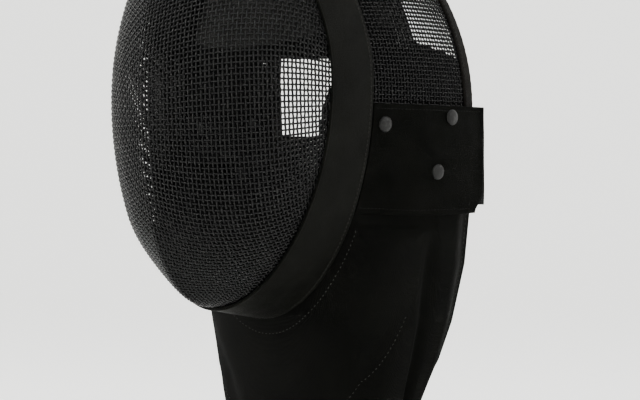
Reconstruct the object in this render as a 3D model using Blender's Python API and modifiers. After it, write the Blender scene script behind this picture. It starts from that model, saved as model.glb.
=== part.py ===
"""A worn fencing mask: ridged wire face, wire crown, leather band, bib, panels, pads and strap.

Metres, +Z up. The wearer looks along -Y, and +X is the wearer's left. Heights and depths below are
measured from the middle of the widest line of the face, and the last step moves the whole mask so
that the origin is the seat of the wearer's head, under the top of the brow pad.
"""
import math

import bmesh
import bpy
import numpy as np
from mathutils import Vector

GAP = 0.0003

# Front rim, where the band's front edge crosses the wire face
FACE_HALF_WIDTH = 0.0953
FACE_CENTRE_Z = 0.020
FACE_RISE = 0.133
FACE_DROP = 0.163
RIM_Y = -0.0894
TOP_LEAN = 0.030
CHIN_LEAN = 0.0232

# Ridge of the wire face
RIDGE_Y = -0.185
RIDGE_TOP_POWER = 1.75
RIDGE_CHIN_POWER = 2.4
FLANK_ARC = math.radians(39.5)
CHIN_ARC = math.radians(5)
TOP_FLATTENING = 0.25
CHIN_FLAT_SHARE = 0.05
CHIN_FULL_SHARE = 0.32
BULGE_Y = -0.060

# Leather band over the joint of face and crown
BAND_WIDTH = 0.041
BAND_FLARE = 0.0027
BAND_CHIN_DROP = 0.008
BAND_CHIN_LEAN = 0.012
BAND_THICKNESS = 0.002
TUCK = 0.008

# Wire crown and the arch that it ends at
WIRE_THICKNESS = 0.002
ARCH_FLARE = 0.0042
ARCH_HALF_WIDTH = FACE_HALF_WIDTH + ARCH_FLARE
ARCH_Y = 0.058
ARCH_RISE = 0.1462
ARCH_LEAN = 0.0364
CROWN_SIDE_ARC = math.radians(8)
CROWN_TOP_ARC = math.radians(14)
CROWN_LOW_Z = -0.035
CROWN_ROWS = 8
CROWN_COLUMNS = 34
TRIM_WIDTH = 0.011
TRIM_THICKNESS = 0.001

# Side panels and the rivets through them
PANEL_TOP_Z = 0.0058
PANEL_LOW_Z = -0.073
PANEL_THICKNESS = 0.002
PANEL_OVERHANG = 0.008
PANEL_CLEARANCE = 0.0009
PANEL_CORNER = 0.010
PANEL_CORNER_SHARE = 0.80
RIVET_RADIUS = 0.0058
RIVET_DOME = 0.0026
SHANK_RADIUS = 0.0020
WASHER_RADIUS = 0.0048
WASHER_THICKNESS = 0.0012
RIVET_SIDES = 10
HOLE_DEPTH = 0.030

# Strap round the back of the head
STRAP_TOP_Z = -0.012
STRAP_WIDTH = 0.055
STRAP_THICKNESS = 0.002
STRAP_BACK_Y = 0.110
STRAP_GRIP = 0.52
STRAP_END_SHARE = 0.30

# Tongue and nape pad
TONGUE_HALF_WIDTH = 0.023
TONGUE_THICKNESS = 0.002
TONGUE_POWER = 1.5
TONGUE_LOW_Z = 0.040
TONGUE_START = 0.0132
BACK_LINE_LOW_Z = -0.0305
NAPE_THICKNESS = 0.006
NAPE_CLEARANCE = 0.0008
NAPE_HALF_WIDTH = 0.082
NAPE_TOP_Z = 0.054
NAPE_HEIGHT = 0.114

# Pads inside
BROW_LOW_Z = 0.038
BROW_DEPTH = 0.070
BROW_CENTRE_Y = -0.020
BROW_THICKNESS = 0.008
BROW_REACH = math.radians(96)
CHIN_PAD_THICKNESS = 0.005
CHIN_PAD_REACH = math.radians(68)
CHIN_PAD_START = 0.02
CHIN_PAD_SPAN = 0.80
PAD_CLEARANCE = 0.0006
LINING_THICKNESS = 0.0025
LINING_CLEARANCE = 0.0009
LINING_LOW_Z = 0.0035
LINING_TUCK = 0.005
LINING_END = 0.005

# Bib below the chin
BIB_THICKNESS = 0.002
BIB_TOP_Z = -0.060
BIB_TIP_Z = -0.266
BIB_TIP_Y = -0.047
BIB_CORNER_Z = -0.207
BIB_INSET = 0.0030
BIB_HALF_WIDTH = ARCH_HALF_WIDTH - BIB_INSET
BIB_REAR_Y = 0.082
BIB_TURN_IN = 0.016
BIB_TURN_START = 0.78
BIB_POWER = 2.5
BIB_CHIN_POWER = 0.7
BIB_TIP_POWER = 3
BIB_TOP_ROW = 0.002
BIB_CENTRE_Y = -0.010
BIB_FLAT = 0.010
BIB_CLEARANCE = 0.0007
BIB_ROWS = 12
FOLD_START = 0.25
FOLD_END = 0.20

# Rivets of one side: height, and share of the way from the band to the arch
RIVETS = {
    "front": (-0.0090, 0.11),
    "rear": (-0.0025, 0.70),
    "lower": (-0.0418, 0.59),
}

# Width of the nape pad by height, as shares of its height from the top and of its half width
NAPE_OUTLINE = (
    # down, half width
    (0.00, 0.29),
    (0.13, 0.66),
    (0.27, 0.85),
    (0.43, 0.95),
    (0.62, 1.00),
    (0.88, 1.00),
    (1.00, 0.90),
)

# Top edge of a side lining: it passes under the brow pad, then rises and slopes to the arch
LINING_TOP = (
    # back, height
    (0.00, 0.0366),
    (0.36, 0.0366),
    (0.44, 0.0500),
    (1.00, 0.0400),
)

# Shares of the way from the band to the arch where strap and panel step outwards, lining inwards
STRAP_STEP = (0.72, 0.84)
PANEL_STEP = (0.15, 0.50)
LINING_STEP = (0.76, 0.86)

# Sections of the bib by height, as shares of its height, its half width and its rear edge
BIB_SECTIONS = (
    # down, half width, rear
    (0.00, 1.00, 1.00),
    (0.25, 0.99, 0.92),
    (0.46, 0.96, 0.78),
    (0.60, 0.91, 0.66),
    (0.76, 0.84, 0.42),
    (1.00, 0.72, 0.00),
)

# Folds of the bib: place round it, shares down it of start and end, width, depth and slant
BIB_FOLDS = (
    # round, start, end, width, depth, slant
    (0.60, 0.05, 0.95, 0.045, 0.0045, -0.05),
    (0.40, 0.30, 0.95, 0.060, 0.0035, -0.30),
    (-0.55, 0.05, 0.95, 0.050, 0.0040, 0.08),
    (-0.25, 0.35, 1.00, 0.060, 0.0030, 0.20),
    (0.05, 0.45, 1.00, 0.070, 0.0025, 0.05),
)

CURVE_STEPS = 360


def clear_scene():
    """Remove what the scene holds."""
    for item in list(bpy.data.objects):
        bpy.data.objects.remove(item, do_unlink=True)


def signed_power(value, exponent):
    """Power of the value's size, with its sign kept."""
    return math.copysign(abs(value) ** exponent, value)


def ease(low, high, value):
    """Smooth step from 0 at low to 1 at high."""
    share = min(max((value - low) / (high - low), 0.0), 1.0)
    return share * share * (3 - 2 * share)


def oval(angle, half_width, centre_y, rise, drop, top_lean, chin_lean):
    """Point of a leaning oval: angle 0 is the top, a quarter turn is the +X side."""
    cosine = math.cos(angle)
    height = rise if cosine > 0 else drop
    lean = top_lean if cosine > 0 else chin_lean
    y = centre_y - lean * cosine * cosine
    return Vector((half_width * math.sin(angle), y, FACE_CENTRE_Z + height * cosine))


def front_rim(angle):
    """Front edge of the band's outer face."""
    return oval(angle, FACE_HALF_WIDTH, RIM_Y, FACE_RISE, FACE_DROP, TOP_LEAN, CHIN_LEAN)


def rear_rim(angle):
    """Rear edge of the band's outer face."""
    half_width = FACE_HALF_WIDTH + BAND_FLARE
    drop = FACE_DROP + BAND_CHIN_DROP
    return oval(angle, half_width, RIM_Y + BAND_WIDTH, FACE_RISE, drop, TOP_LEAN, BAND_CHIN_LEAN)


def band_frame(angle):
    """Direction across the band from front to rear, and its outward normal."""
    step = 0.01
    across = (rear_rim(angle) - front_rim(angle)).normalized()
    along = rear_rim(angle + step) - rear_rim(angle - step)
    along += front_rim(angle + step) - front_rim(angle - step)
    normal = across.cross(along).normalized()
    middle = Vector((0, RIM_Y, FACE_CENTRE_Z))
    if normal.dot(rear_rim(angle) - middle) < 0:
        normal = -normal
    return across, normal


def under_band(angle, rear, depth):
    """Point below the band's front or rear edge, at a depth from its outer face."""
    across, normal = band_frame(angle)
    edge = rear_rim(angle) if rear else front_rim(angle)
    return edge - normal * depth, across, normal


WIRE_DEPTH = BAND_THICKNESS + GAP + WIRE_THICKNESS / 2


def wire_rim(angle):
    """Where the middle of the face wire goes under the band."""
    return under_band(angle, False, WIRE_DEPTH)[0]


def ridge(angle):
    """Point of the ridge in the middle plane: angle 0 is the top, half a turn is the chin."""
    cosine = math.cos(angle)
    power = RIDGE_TOP_POWER if cosine > 0 else RIDGE_CHIN_POWER
    end = wire_rim(0.0 if cosine > 0 else math.pi)
    forward = abs(math.sin(angle)) ** (2 / power)
    rise = abs(end.z - FACE_CENTRE_Z) * signed_power(cosine, 2 / power)
    return Vector((0, end.y + (RIDGE_Y - end.y) * forward, FACE_CENTRE_Z + rise))


def by_length(curve, start, end):
    """Function that gives the curve's angle at a share of its length."""
    angles = np.linspace(start, end, CURVE_STEPS + 1)
    points = [curve(angle) for angle in angles]
    reach = np.zeros(CURVE_STEPS + 1)
    for index in range(CURVE_STEPS):
        reach[index + 1] = reach[index] + (points[index + 1] - points[index]).length
    return lambda share: float(np.interp(share * reach[-1], reach, angles))


def arc_between(start, end, outward, half_arc, share):
    """Point of the arc from start to end that leaves its chord at the angle half_arc."""
    chord = end - start
    if chord.length < 1e-7:
        return start.copy()
    bulge = outward - chord * (outward.dot(chord) / chord.length_squared)
    turn = half_arc * (2 * share - 1)
    along = (math.sin(turn) + math.sin(half_arc)) / (2 * math.sin(half_arc))
    height = (math.cos(turn) - math.cos(half_arc)) / (2 * math.sin(half_arc)) * chord.length
    return start + chord * along + bulge.normalized() * height


ridge_angle = by_length(ridge, 0.0, math.pi)
rim_angle = by_length(wire_rim, 0.0, math.pi)


def flank_arc(down):
    """How far a flank bulges: full at the middle, less towards the top, flat at the chin."""
    top = 1 - TOP_FLATTENING * (1 - ease(0.0, 0.5, down))
    chin = ease(CHIN_FLAT_SHARE, CHIN_FULL_SHARE, 1 - down)
    return CHIN_ARC + (FLANK_ARC - CHIN_ARC) * top * chin


def face_point(down, side):
    """Middle of the face wire: down 0 to 1 from top to chin, side 0 at the ridge, 1 at the band."""
    crest = ridge(ridge_angle(down))
    edge_angle = rim_angle(down)
    edge = wire_rim(edge_angle)
    middle = Vector((0, BULGE_Y, 0))
    outward = (crest - middle) + (edge - middle)
    point = arc_between(crest, edge, outward, flank_arc(down), min(abs(side), 1.0))
    if abs(side) > 1:
        point = point + band_frame(edge_angle)[0] * (abs(side) - 1)
    return Vector((math.copysign(point.x, side), point.y, point.z))


def arch(angle):
    """Rear edge of the crown: an arch on two upright legs, the middle of the wire."""
    if abs(angle) <= math.pi / 2:
        cosine = math.cos(angle)
        y = ARCH_Y - ARCH_LEAN * cosine * cosine
        return Vector((ARCH_HALF_WIDTH * math.sin(angle), y, PANEL_TOP_Z + ARCH_RISE * cosine))
    leg = abs(angle) - math.pi / 2
    half_width = math.copysign(ARCH_HALF_WIDTH, angle)
    return Vector((half_width, ARCH_Y, PANEL_TOP_Z - leg * ARCH_HALF_WIDTH))


def rear_rim_angle_at(height):
    """Angle of the rear rim on the +X side at a height."""
    offset = height - FACE_CENTRE_Z
    reach = FACE_RISE if offset > 0 else FACE_DROP + BAND_CHIN_DROP
    return math.acos(max(-1.0, min(1.0, offset / reach)))


def crown_front(angle):
    """Where the middle of the crown wire goes under the band."""
    return under_band(angle, True, WIRE_DEPTH)[0]


crown_front_angle = by_length(crown_front, 0.0, rear_rim_angle_at(PANEL_TOP_Z))
crown_rear_angle = by_length(arch, 0.0, math.pi / 2)


def side_frame(around, back):
    """Middle of the crown wire and its outward normal.

    Around runs from 0 at the top to 1 at the panel's top edge, and below it is 1 plus the drop in
    units of the arch's half width. Back runs from 0 at the band's rear edge to 1 at the arch.
    """
    def point_at(around, back):
        size = abs(around)
        if size <= 1:
            front_turn = crown_front_angle(size)
            rear_turn = crown_rear_angle(size)
        else:
            drop = (size - 1) * ARCH_HALF_WIDTH
            front_turn = rear_rim_angle_at(PANEL_TOP_Z - drop)
            rear_turn = math.pi / 2 + (size - 1)
        start, across, outward = under_band(front_turn, True, WIRE_DEPTH)
        end = arch(rear_turn)
        top_share = math.cos(min(rear_turn, math.pi / 2)) ** 2
        arc = CROWN_SIDE_ARC + (CROWN_TOP_ARC - CROWN_SIDE_ARC) * top_share
        point = arc_between(start, end, outward, arc, min(max(back, 0.0), 1.0))
        if back < 0:
            point = start + across * back * (end - start).length
        if back > 1:
            point = end + Vector((0, 1, 0)) * (back - 1) * (end - start).length
        return Vector((math.copysign(point.x, around), point.y, point.z))

    step = 0.01
    point = point_at(around, back)
    along_back = point_at(around, back + step) - point_at(around, back - step)
    along_round = point_at(around + step, back) - point_at(around - step, back)
    normal = along_back.cross(along_round).normalized()
    if normal.dot(point - Vector((0, point.y, 0))) < 0:
        normal = -normal
    return point, normal


def around_at(height):
    """Measure round the crown at a height below the panel's top edge."""
    return 1 + (PANEL_TOP_Z - height) / ARCH_HALF_WIDTH


def around_of(height, back):
    """Measure round the crown where its side is at a height above the panel."""
    low, high = 1.2, 0.4
    for _ in range(24):
        middle = (low + high) / 2
        if side_frame(middle, back)[0].z < height:
            low = middle
        else:
            high = middle
    return low


def crown_length(around):
    """Length from the band to the arch."""
    return (side_frame(around, 1.0)[0] - side_frame(around, 0.0)[0]).length


TRIM_OFFSET = WIRE_THICKNESS / 2 + GAP + TRIM_THICKNESS
STRAP_REAR_OFFSET = TRIM_OFFSET + GAP
STRAP_FRONT_OFFSET = WIRE_THICKNESS / 2 + GAP
PANEL_REAR_OFFSET = STRAP_REAR_OFFSET + STRAP_THICKNESS + GAP
PANEL_FRONT_OFFSET = WIRE_THICKNESS / 2 + GAP


def strap_offset(back):
    """Distance of the strap's inner face from the middle of the wire."""
    return STRAP_FRONT_OFFSET + (STRAP_REAR_OFFSET - STRAP_FRONT_OFFSET) * ease(*STRAP_STEP, back)


def panel_offset(back):
    """Distance of the panel's inner face from the middle of the wire."""
    return PANEL_FRONT_OFFSET + (PANEL_REAR_OFFSET - PANEL_FRONT_OFFSET) * ease(*PANEL_STEP, back)


def lining_offset(back):
    """Distance of the lining's outer face from the middle of the wire."""
    front = WIRE_THICKNESS / 2 + LINING_CLEARANCE
    rear = TRIM_OFFSET + LINING_CLEARANCE
    return front + (rear - front) * ease(*LINING_STEP, back)


def finish(name, colour, roughness, metallic=0.0):
    """Plain finish of one sub-part."""
    material = bpy.data.materials.new(name)
    material.use_nodes = True
    shader = material.node_tree.nodes["Principled BSDF"]
    shader.inputs["Base Color"].default_value = (*colour, 1)
    shader.inputs["Roughness"].default_value = roughness
    shader.inputs["Metallic"].default_value = metallic
    return material


def add_object(name, mesh, material):
    """Put a mesh in the mask's collection, held by its empty."""
    item = bpy.data.objects.new(name, mesh)
    item.parent = mask
    mesh.materials.append(material)
    parts.objects.link(item)
    return item


def shaped_sheet(name, columns, rows, shape, thickness, inside, offset=-1.0):
    """Grid shaped by a function of two shares, made a wall by Solidify.

    Inside is a point that the sheet's faces look away from. An offset of -1 thickens inwards.
    """
    sheet = bmesh.new()
    bmesh.ops.create_grid(sheet, x_segments=columns, y_segments=rows, size=0.5)
    for vertex in sheet.verts:
        vertex.co = shape(vertex.co.x + 0.5, vertex.co.y + 0.5)
    bmesh.ops.remove_doubles(sheet, verts=sheet.verts, dist=1e-6)
    sheet.normal_update()
    facing = 0.0
    for face in sheet.faces:
        facing += face.normal.dot(face.calc_center_median() - inside) * face.calc_area()
    if facing < 0:
        bmesh.ops.reverse_faces(sheet, faces=sheet.faces)
    mesh = bpy.data.meshes.new(name)
    sheet.to_mesh(mesh)
    sheet.free()
    mesh.shade_smooth()
    item = add_object(name, mesh, FINISHES[name])
    wall = item.modifiers.new("Wall", "SOLIDIFY")
    wall.thickness = thickness
    wall.offset = offset
    wall.use_even_offset = True
    return item


def build_face_mesh():
    """Pressed wire face: two flanks that meet in a ridge, with its edge under the band."""
    half = 10
    shares = [index / half for index in range(half + 1)] + [1 + TUCK]

    def shape(across, down):
        place = (across * 2 - 1) * (half + 1)
        side = shares[round(abs(place))]
        return face_point(down, math.copysign(side, place))

    inside = Vector((0, RIM_Y, 0))
    return shaped_sheet("face_mesh", 2 * (half + 1), 22, shape, WIRE_THICKNESS, inside, 0.0)


def build_face_band():
    """Closed leather band round the face."""
    def shape(round_share, across):
        angle = (round_share * 2 - 1) * math.pi
        front = front_rim(angle)
        rear = rear_rim(angle)
        crown = BAND_THICKNESS * 0.5 * (1 - (2 * across - 1) ** 2)
        return front.lerp(rear, across) + band_frame(angle)[1] * crown

    return shaped_sheet("face_band", 60, 4, shape, BAND_THICKNESS, Vector((0, RIM_Y, 0)))


def build_crown_mesh():
    """Wire crown from under the band to the arch."""
    low = around_at(CROWN_LOW_Z)

    def shape(across, back_share):
        around = (across * 2 - 1) * low
        length = crown_length(around)
        end = 1 - (TRIM_THICKNESS + GAP) / length
        row = round(back_share * CROWN_ROWS)
        back = -TUCK / length if row == 0 else (row - 1) / (CROWN_ROWS - 1) * end
        return side_frame(around, back)[0]

    inside = Vector((0, 0, 0))
    return shaped_sheet("crown_mesh", CROWN_COLUMNS, CROWN_ROWS, shape, WIRE_THICKNESS, inside, 0.0)


def build_rear_trim():
    """Leather binding folded over the crown's rear edge."""
    low = around_at(CROWN_LOW_Z)
    reach = TRIM_WIDTH - TRIM_THICKNESS / 2
    lift = WIRE_THICKNESS / 2 + GAP + TRIM_THICKNESS / 2
    section = ((-reach, lift), (0.0, lift), (TRIM_THICKNESS, 0.0), (0.0, -lift), (-reach, -lift))

    def shape(across, fold):
        around = (across * 2 - 1) * low
        back, out = section[round(fold * 4)]
        point, normal = side_frame(around, 1.0)
        inner = side_frame(around, 1 + back / crown_length(around))[0]
        if back > 0:
            inner = point + (point - side_frame(around, 0.97)[0]).normalized() * back
        return inner + normal * out

    inside = Vector((0, 0, 0))
    return shaped_sheet("rear_trim", CROWN_COLUMNS, 4, shape, TRIM_THICKNESS, inside, 0.0)


def build_side_panel(side):
    """Leather panel below the crown, from the band to the strap."""
    name = "side_panel_left" if side > 0 else "side_panel_right"
    top = around_at(PANEL_TOP_Z)
    low = around_at(PANEL_LOW_Z)

    def shape(back_share, down):
        around = top + (low - top) * down
        length = crown_length(around)
        start = PANEL_CLEARANCE / length
        corner = PANEL_CORNER * ease(PANEL_CORNER_SHARE, 1.0, down)
        end = 1 + (PANEL_OVERHANG - corner) / length
        back = start + (end - start) * back_share
        point, normal = side_frame(around * side, back)
        return point + normal * panel_offset(back)

    return shaped_sheet(name, 12, 5, shape, PANEL_THICKNESS, Vector((0, 0, 0)), 1.0)


def strap_point(along, down):
    """Inner face of the strap: along -1 to 1 from end to end, down 0 to 1 across its width."""
    height = STRAP_TOP_Z - STRAP_WIDTH * down
    around = around_at(height)
    size = abs(along)
    free_share = 1 - STRAP_END_SHARE
    if size >= free_share:
        back = 1 - STRAP_GRIP * (size - free_share) / STRAP_END_SHARE
        point, normal = side_frame(math.copysign(around, along), back)
        return point + normal * strap_offset(back)
    turn = size / free_share * math.pi / 2
    start, normal = side_frame(around, 1.0)
    start = start + normal * STRAP_REAR_OFFSET
    depth = STRAP_BACK_Y - STRAP_THICKNESS - start.y
    x = math.copysign(start.x * math.sin(turn), along)
    return Vector((x, start.y + depth * math.cos(turn), start.z))


def build_back_strap():
    """Wide strap round the back of the head, its ends under the panels."""
    def shape(along, down):
        return strap_point(2 * along - 1, down)

    return shaped_sheet("back_strap", 40, 2, shape, STRAP_THICKNESS, Vector((0, 0, 0)), 1.0)


def tongue_line(height):
    """Outer face of the tongue in the middle plane, at a height."""
    start_back = 1 - TONGUE_START / crown_length(0.0)
    start, normal = side_frame(0.0, start_back)
    start = start - normal * (TRIM_OFFSET + 2 * GAP)
    share = (height - BACK_LINE_LOW_Z) / (start.z - BACK_LINE_LOW_Z)
    share = max(0.0, min(1.0, share))
    reach = (1 - share ** TONGUE_POWER) ** (1 / TONGUE_POWER)
    end_y = STRAP_BACK_Y - STRAP_THICKNESS + TONGUE_THICKNESS
    return start.y + (end_y - start.y) * reach, start.z


def back_sweep(x):
    """How far the strap's inner face has come forward at a distance from the middle."""
    start, normal = side_frame(around_at(STRAP_TOP_Z), 1.0)
    start = start + normal * STRAP_REAR_OFFSET
    return (STRAP_BACK_Y - STRAP_THICKNESS - start.y) * (1 - math.sqrt(1 - (x / start.x) ** 2))


def build_tongue():
    """Sprung strip from the arch's top down to the nape pad."""
    top_height = tongue_line(0.0)[1]

    def shape(across, down):
        turn = down * math.pi / 2
        height = TONGUE_LOW_Z + (top_height - TONGUE_LOW_Z) * math.cos(turn)
        depth, _ = tongue_line(height)
        x = (2 * across - 1) * TONGUE_HALF_WIDTH
        sag = ARCH_RISE * (1 - math.sqrt(1 - (x / ARCH_HALF_WIDTH) ** 2))
        return Vector((x, depth - back_sweep(x) * (1 - math.cos(turn)), height - sag * math.cos(turn)))

    return shaped_sheet("tongue", 4, 14, shape, TONGUE_THICKNESS, Vector((0, 0, -0.1)))


def nape_point(across, down):
    """Outer face of the nape pad: across -1 to 1, down 0 to 1."""
    height = NAPE_TOP_Z - NAPE_HEIGHT * down
    downs, widths = zip(*NAPE_OUTLINE)
    x = across * NAPE_HALF_WIDTH * float(np.interp(down, downs, widths))
    middle = tongue_line(height)[0] - TONGUE_THICKNESS - NAPE_CLEARANCE
    return Vector((x, middle - back_sweep(x), height))


def build_nape_pad():
    """Bell shaped pad behind the neck, inside the strap."""
    def shape(across, down):
        return nape_point(2 * across - 1, down)

    return shaped_sheet("nape_pad", 12, 8, shape, NAPE_THICKNESS, Vector((0, 0, 0)))


def crown_back_at(depth):
    """Share of the way from the band to the arch where the side of the crown is at a depth in Y."""
    start = rear_rim(rear_rim_angle_at(PANEL_TOP_Z)).y
    return (depth - start) / (ARCH_Y - start)


BROW_BACK = crown_back_at(BROW_CENTRE_Y)
AROUND_STEPS = 60


def height_table():
    """Heights up the side of the crown above the brow pad's ends, and the measure round it."""
    rows = []
    for index in range(AROUND_STEPS, -1, -1):
        around = index / AROUND_STEPS
        rows.append((side_frame(around, BROW_BACK)[0].z, around))
    return rows


AROUND_TABLE = height_table()


def brow_line(rise):
    """Widest line of the brow pad's outer face, just inside the crown: rise 0 at its ends, 1 at the top."""
    heights, arounds = zip(*AROUND_TABLE)
    low = float(np.interp(BROW_LOW_Z, heights, arounds))
    point, normal = side_frame(max(low * (1 - rise), 1e-4), BROW_BACK)
    return point - normal * (WIRE_THICKNESS / 2 + PAD_CLEARANCE)


BROW_HALF_WIDTH = brow_line(0.0).x


def brow_point(turn, rise):
    """Outer face of the brow pad: turn from the front, rise from its lower edge to its top."""
    side = brow_line(rise)
    if rise > 0.999:
        side.x = 0.0
    depth = BROW_DEPTH * side.x / BROW_HALF_WIDTH
    return Vector((side.x * math.sin(turn), BROW_CENTRE_Y - depth * math.cos(turn), side.z))


def build_brow_pad():
    """Padded lining over the forehead, under the crown."""
    def shape(across, rise):
        return brow_point((2 * across - 1) * BROW_REACH, rise)

    inside = Vector((0, BROW_CENTRE_Y, 0))
    return shaped_sheet("brow_pad", 20, 8, shape, BROW_THICKNESS, inside)


def build_lining(side):
    """Cloth lining inside one side of the crown, from above the rivets to its sloping top edge."""
    name = "lining_left" if side > 0 else "lining_right"
    backs, heights = zip(*LINING_TOP)

    def shape(back_share, rise):
        length = crown_length(1.0)
        start = -LINING_TUCK / length
        back = start + (1 - LINING_END / length - start) * back_share
        top = float(np.interp(back, backs, heights))
        height = LINING_LOW_Z + (top - LINING_LOW_Z) * rise
        around = around_of(height, back)
        point, normal = side_frame(around * side, back)
        return point - normal * lining_offset(back)

    return shaped_sheet(name, 12, 4, shape, LINING_THICKNESS, Vector((0, 0, 0)))


def build_chin_pad():
    """Padded strip inside the lower half of the band."""
    depth = WIRE_DEPTH + WIRE_THICKNESS / 2 + 2 * PAD_CLEARANCE

    def shape(round_share, across):
        angle = math.pi + (round_share * 2 - 1) * CHIN_PAD_REACH
        front = under_band(angle, False, depth)[0]
        rear = under_band(angle, True, depth)[0]
        return front.lerp(rear, CHIN_PAD_START + CHIN_PAD_SPAN * across)

    return shaped_sheet("chin_pad", 28, 3, shape, CHIN_PAD_THICKNESS, Vector((0, RIM_Y, 0)))


def bib_corner(angle):
    """Where the bib's outer face comes out from under the band's rear edge."""
    point, across, _ = under_band(angle, True, BAND_THICKNESS + BIB_CLEARANCE)
    return point + across * BIB_CLEARANCE, across


def bib_size(height):
    """Half width and rear edge of the bib at a height."""
    down = (BIB_TOP_Z - height) / (BIB_TOP_Z - BIB_TIP_Z)
    downs, widths, rears = zip(*BIB_SECTIONS)
    width = BIB_HALF_WIDTH * float(np.interp(down, downs, widths))
    return width, BIB_REAR_Y * float(np.interp(down, downs, rears))


def bib_edge_table():
    """Height, place and turn of the bib's front edge along the band, from the chin upwards."""
    rows = []
    for angle in np.linspace(math.pi, rear_rim_angle_at(BIB_TOP_Z), 60):
        corner, across = bib_corner(angle)
        width = bib_size(corner.z)[0]
        turn = math.asin(min(1.0, abs(corner.x) / width) ** (BIB_POWER / 2))
        rows.append((corner.z, abs(corner.x), corner.y, turn))
    return np.array(rows)


BIB_EDGE = bib_edge_table()
CHIN_Z = BIB_EDGE[0, 0]
CHIN_Y = BIB_EDGE[0, 2]


def bib_front(height):
    """Foremost point of the bib's whole section at a height, ahead of what the band cuts off."""
    if height < CHIN_Z:
        down = (CHIN_Z - height) / (CHIN_Z - BIB_TIP_Z)
        return CHIN_Y + (BIB_TIP_Y - CHIN_Y) * down ** BIB_CHIN_POWER
    x = float(np.interp(height, BIB_EDGE[:, 0], BIB_EDGE[:, 1]))
    y = float(np.interp(height, BIB_EDGE[:, 0], BIB_EDGE[:, 2]))
    return y / (1 - (x / bib_size(height)[0]) ** BIB_POWER) ** (1 / BIB_POWER)


def bib_turn(size):
    """Turn of the bib's section from the middle of the front to the side, evenly spaced across X."""
    return math.pi / 2 * min(2 * size, 1.0) ** (BIB_POWER / 2)


def bib_place(size, height):
    """Smooth outer face of the bib: size 0 at the middle of the front, 1 at its rear edge."""
    width, rear = bib_size(height)
    turn = bib_turn(size)
    x = width * math.sin(turn) ** (2 / BIB_POWER)
    y = bib_front(height) * max(math.cos(turn), 0.0) ** (2 / BIB_POWER)
    if size > 0.5:
        y = rear * (size - 0.5) / 0.5
    if height > CHIN_Z:
        start = rear_rim(rear_rim_angle_at(height)).y
        back = max((y - start) / (ARCH_Y - start), 0.0)
        point = side_frame(around_at(height), back)[0]
        below = max(PANEL_LOW_Z - BIB_FLAT - height, 0.0)
        x = min(x, point.x + WIRE_THICKNESS / 2 - BIB_CLEARANCE + below)
    x -= BIB_TURN_IN * ease(BIB_TURN_START, 1.0, size)
    return Vector((x, y, height))


def bib_point(round_share, row):
    """Outer face of the bib at a row of its wall: the first two go under the band."""
    size = abs(round_share)
    turn = bib_turn(size)
    low = BIB_TIP_Z + (BIB_CORNER_Z - BIB_TIP_Z) * size ** BIB_TIP_POWER
    down = max(row - 1, 0) / (BIB_ROWS - 1)
    if size < 0.5 and turn < BIB_EDGE[-1, 3]:
        height = float(np.interp(turn, BIB_EDGE[:, 3], BIB_EDGE[:, 0]))
        angle = rear_rim_angle_at(height)
        if row == 0:
            corner, across = bib_corner(angle)
            point = corner - across * TUCK
            return Vector((math.copysign(point.x, round_share), point.y, point.z))
        top = height
    else:
        top = BIB_TOP_Z if row == 0 else BIB_TOP_Z - BIB_TOP_ROW
    point = bib_place(size, top + (low - top) * down)
    point.x = math.copysign(point.x, round_share)
    outward = Vector((point.x, point.y - BIB_CENTRE_Y, 0)).normalized()
    for place, start, end, width, depth, slant in BIB_FOLDS:
        middle = place + slant * (down - 0.5)
        fade = ease(start, start + FOLD_START, down) * (1 - ease(end, end + FOLD_END, down))
        point = point - outward * depth * fade * math.exp(-((round_share - middle) / width) ** 2)
    return point


def build_bib():
    """Cloth bib that hangs from the band and the panels."""
    def shape(round_share, down):
        return bib_point(2 * round_share - 1, round(down * BIB_ROWS))

    return shaped_sheet("bib", 40, BIB_ROWS, shape, BIB_THICKNESS, Vector((0, 0, CHIN_Z)))


def build_rivets(side):
    """Domed rivets of one side, each with its shank and inner washer, and the cutters of their holes."""
    cutters = []
    label = "left" if side > 0 else "right"
    for place, (height, back) in RIVETS.items():
        around = around_at(height) * side
        point, normal = side_frame(around, back)
        outer = panel_offset(back) + PANEL_THICKNESS + GAP
        inner = -WIRE_THICKNESS / 2 - GAP
        if height < CROWN_LOW_Z:
            inner = strap_offset(back) - GAP
        profile = (
            (0.0, outer + RIVET_DOME),
            (RIVET_RADIUS * 0.55, outer + RIVET_DOME * 0.86),
            (RIVET_RADIUS * 0.88, outer + RIVET_DOME * 0.50),
            (RIVET_RADIUS, outer + RIVET_DOME * 0.16),
            (RIVET_RADIUS * 0.97, outer),
            (SHANK_RADIUS, outer),
            (SHANK_RADIUS, inner),
            (WASHER_RADIUS, inner),
            (WASHER_RADIUS, inner - WASHER_THICKNESS),
            (0.0, inner - WASHER_THICKNESS),
        )
        mesh = bpy.data.meshes.new("rivet")
        outline = bmesh.new()
        verts = [outline.verts.new((radius, 0, level)) for radius, level in profile]
        for first, second in zip(verts, verts[1:]):
            outline.edges.new((first, second))
        outline.to_mesh(mesh)
        outline.free()
        rivet = add_object(f"rivet_{label}_{place}", mesh, BLACK_METAL)
        rivet.location = point
        rivet.rotation_euler = normal.to_track_quat("Z", "Y").to_euler()
        screw = rivet.modifiers.new("Turn", "SCREW")
        screw.steps = RIVET_SIDES
        screw.render_steps = RIVET_SIDES
        screw.use_merge_vertices = True
        screw.merge_threshold = 0.0001

        bpy.ops.mesh.primitive_cylinder_add(vertices=12, radius=SHANK_RADIUS + GAP, depth=HOLE_DEPTH)
        cutter = bpy.context.object
        cutter.name = f"hole_{label}_{place}"
        cutter.parent = mask
        cutter.location = point
        cutter.rotation_euler = rivet.rotation_euler
        cutter.hide_render = True
        cutter.display_type = "WIRE"
        for owner in cutter.users_collection:
            owner.objects.unlink(cutter)
        guides.objects.link(cutter)
        cutters.append(cutter)
    return cutters


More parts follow.
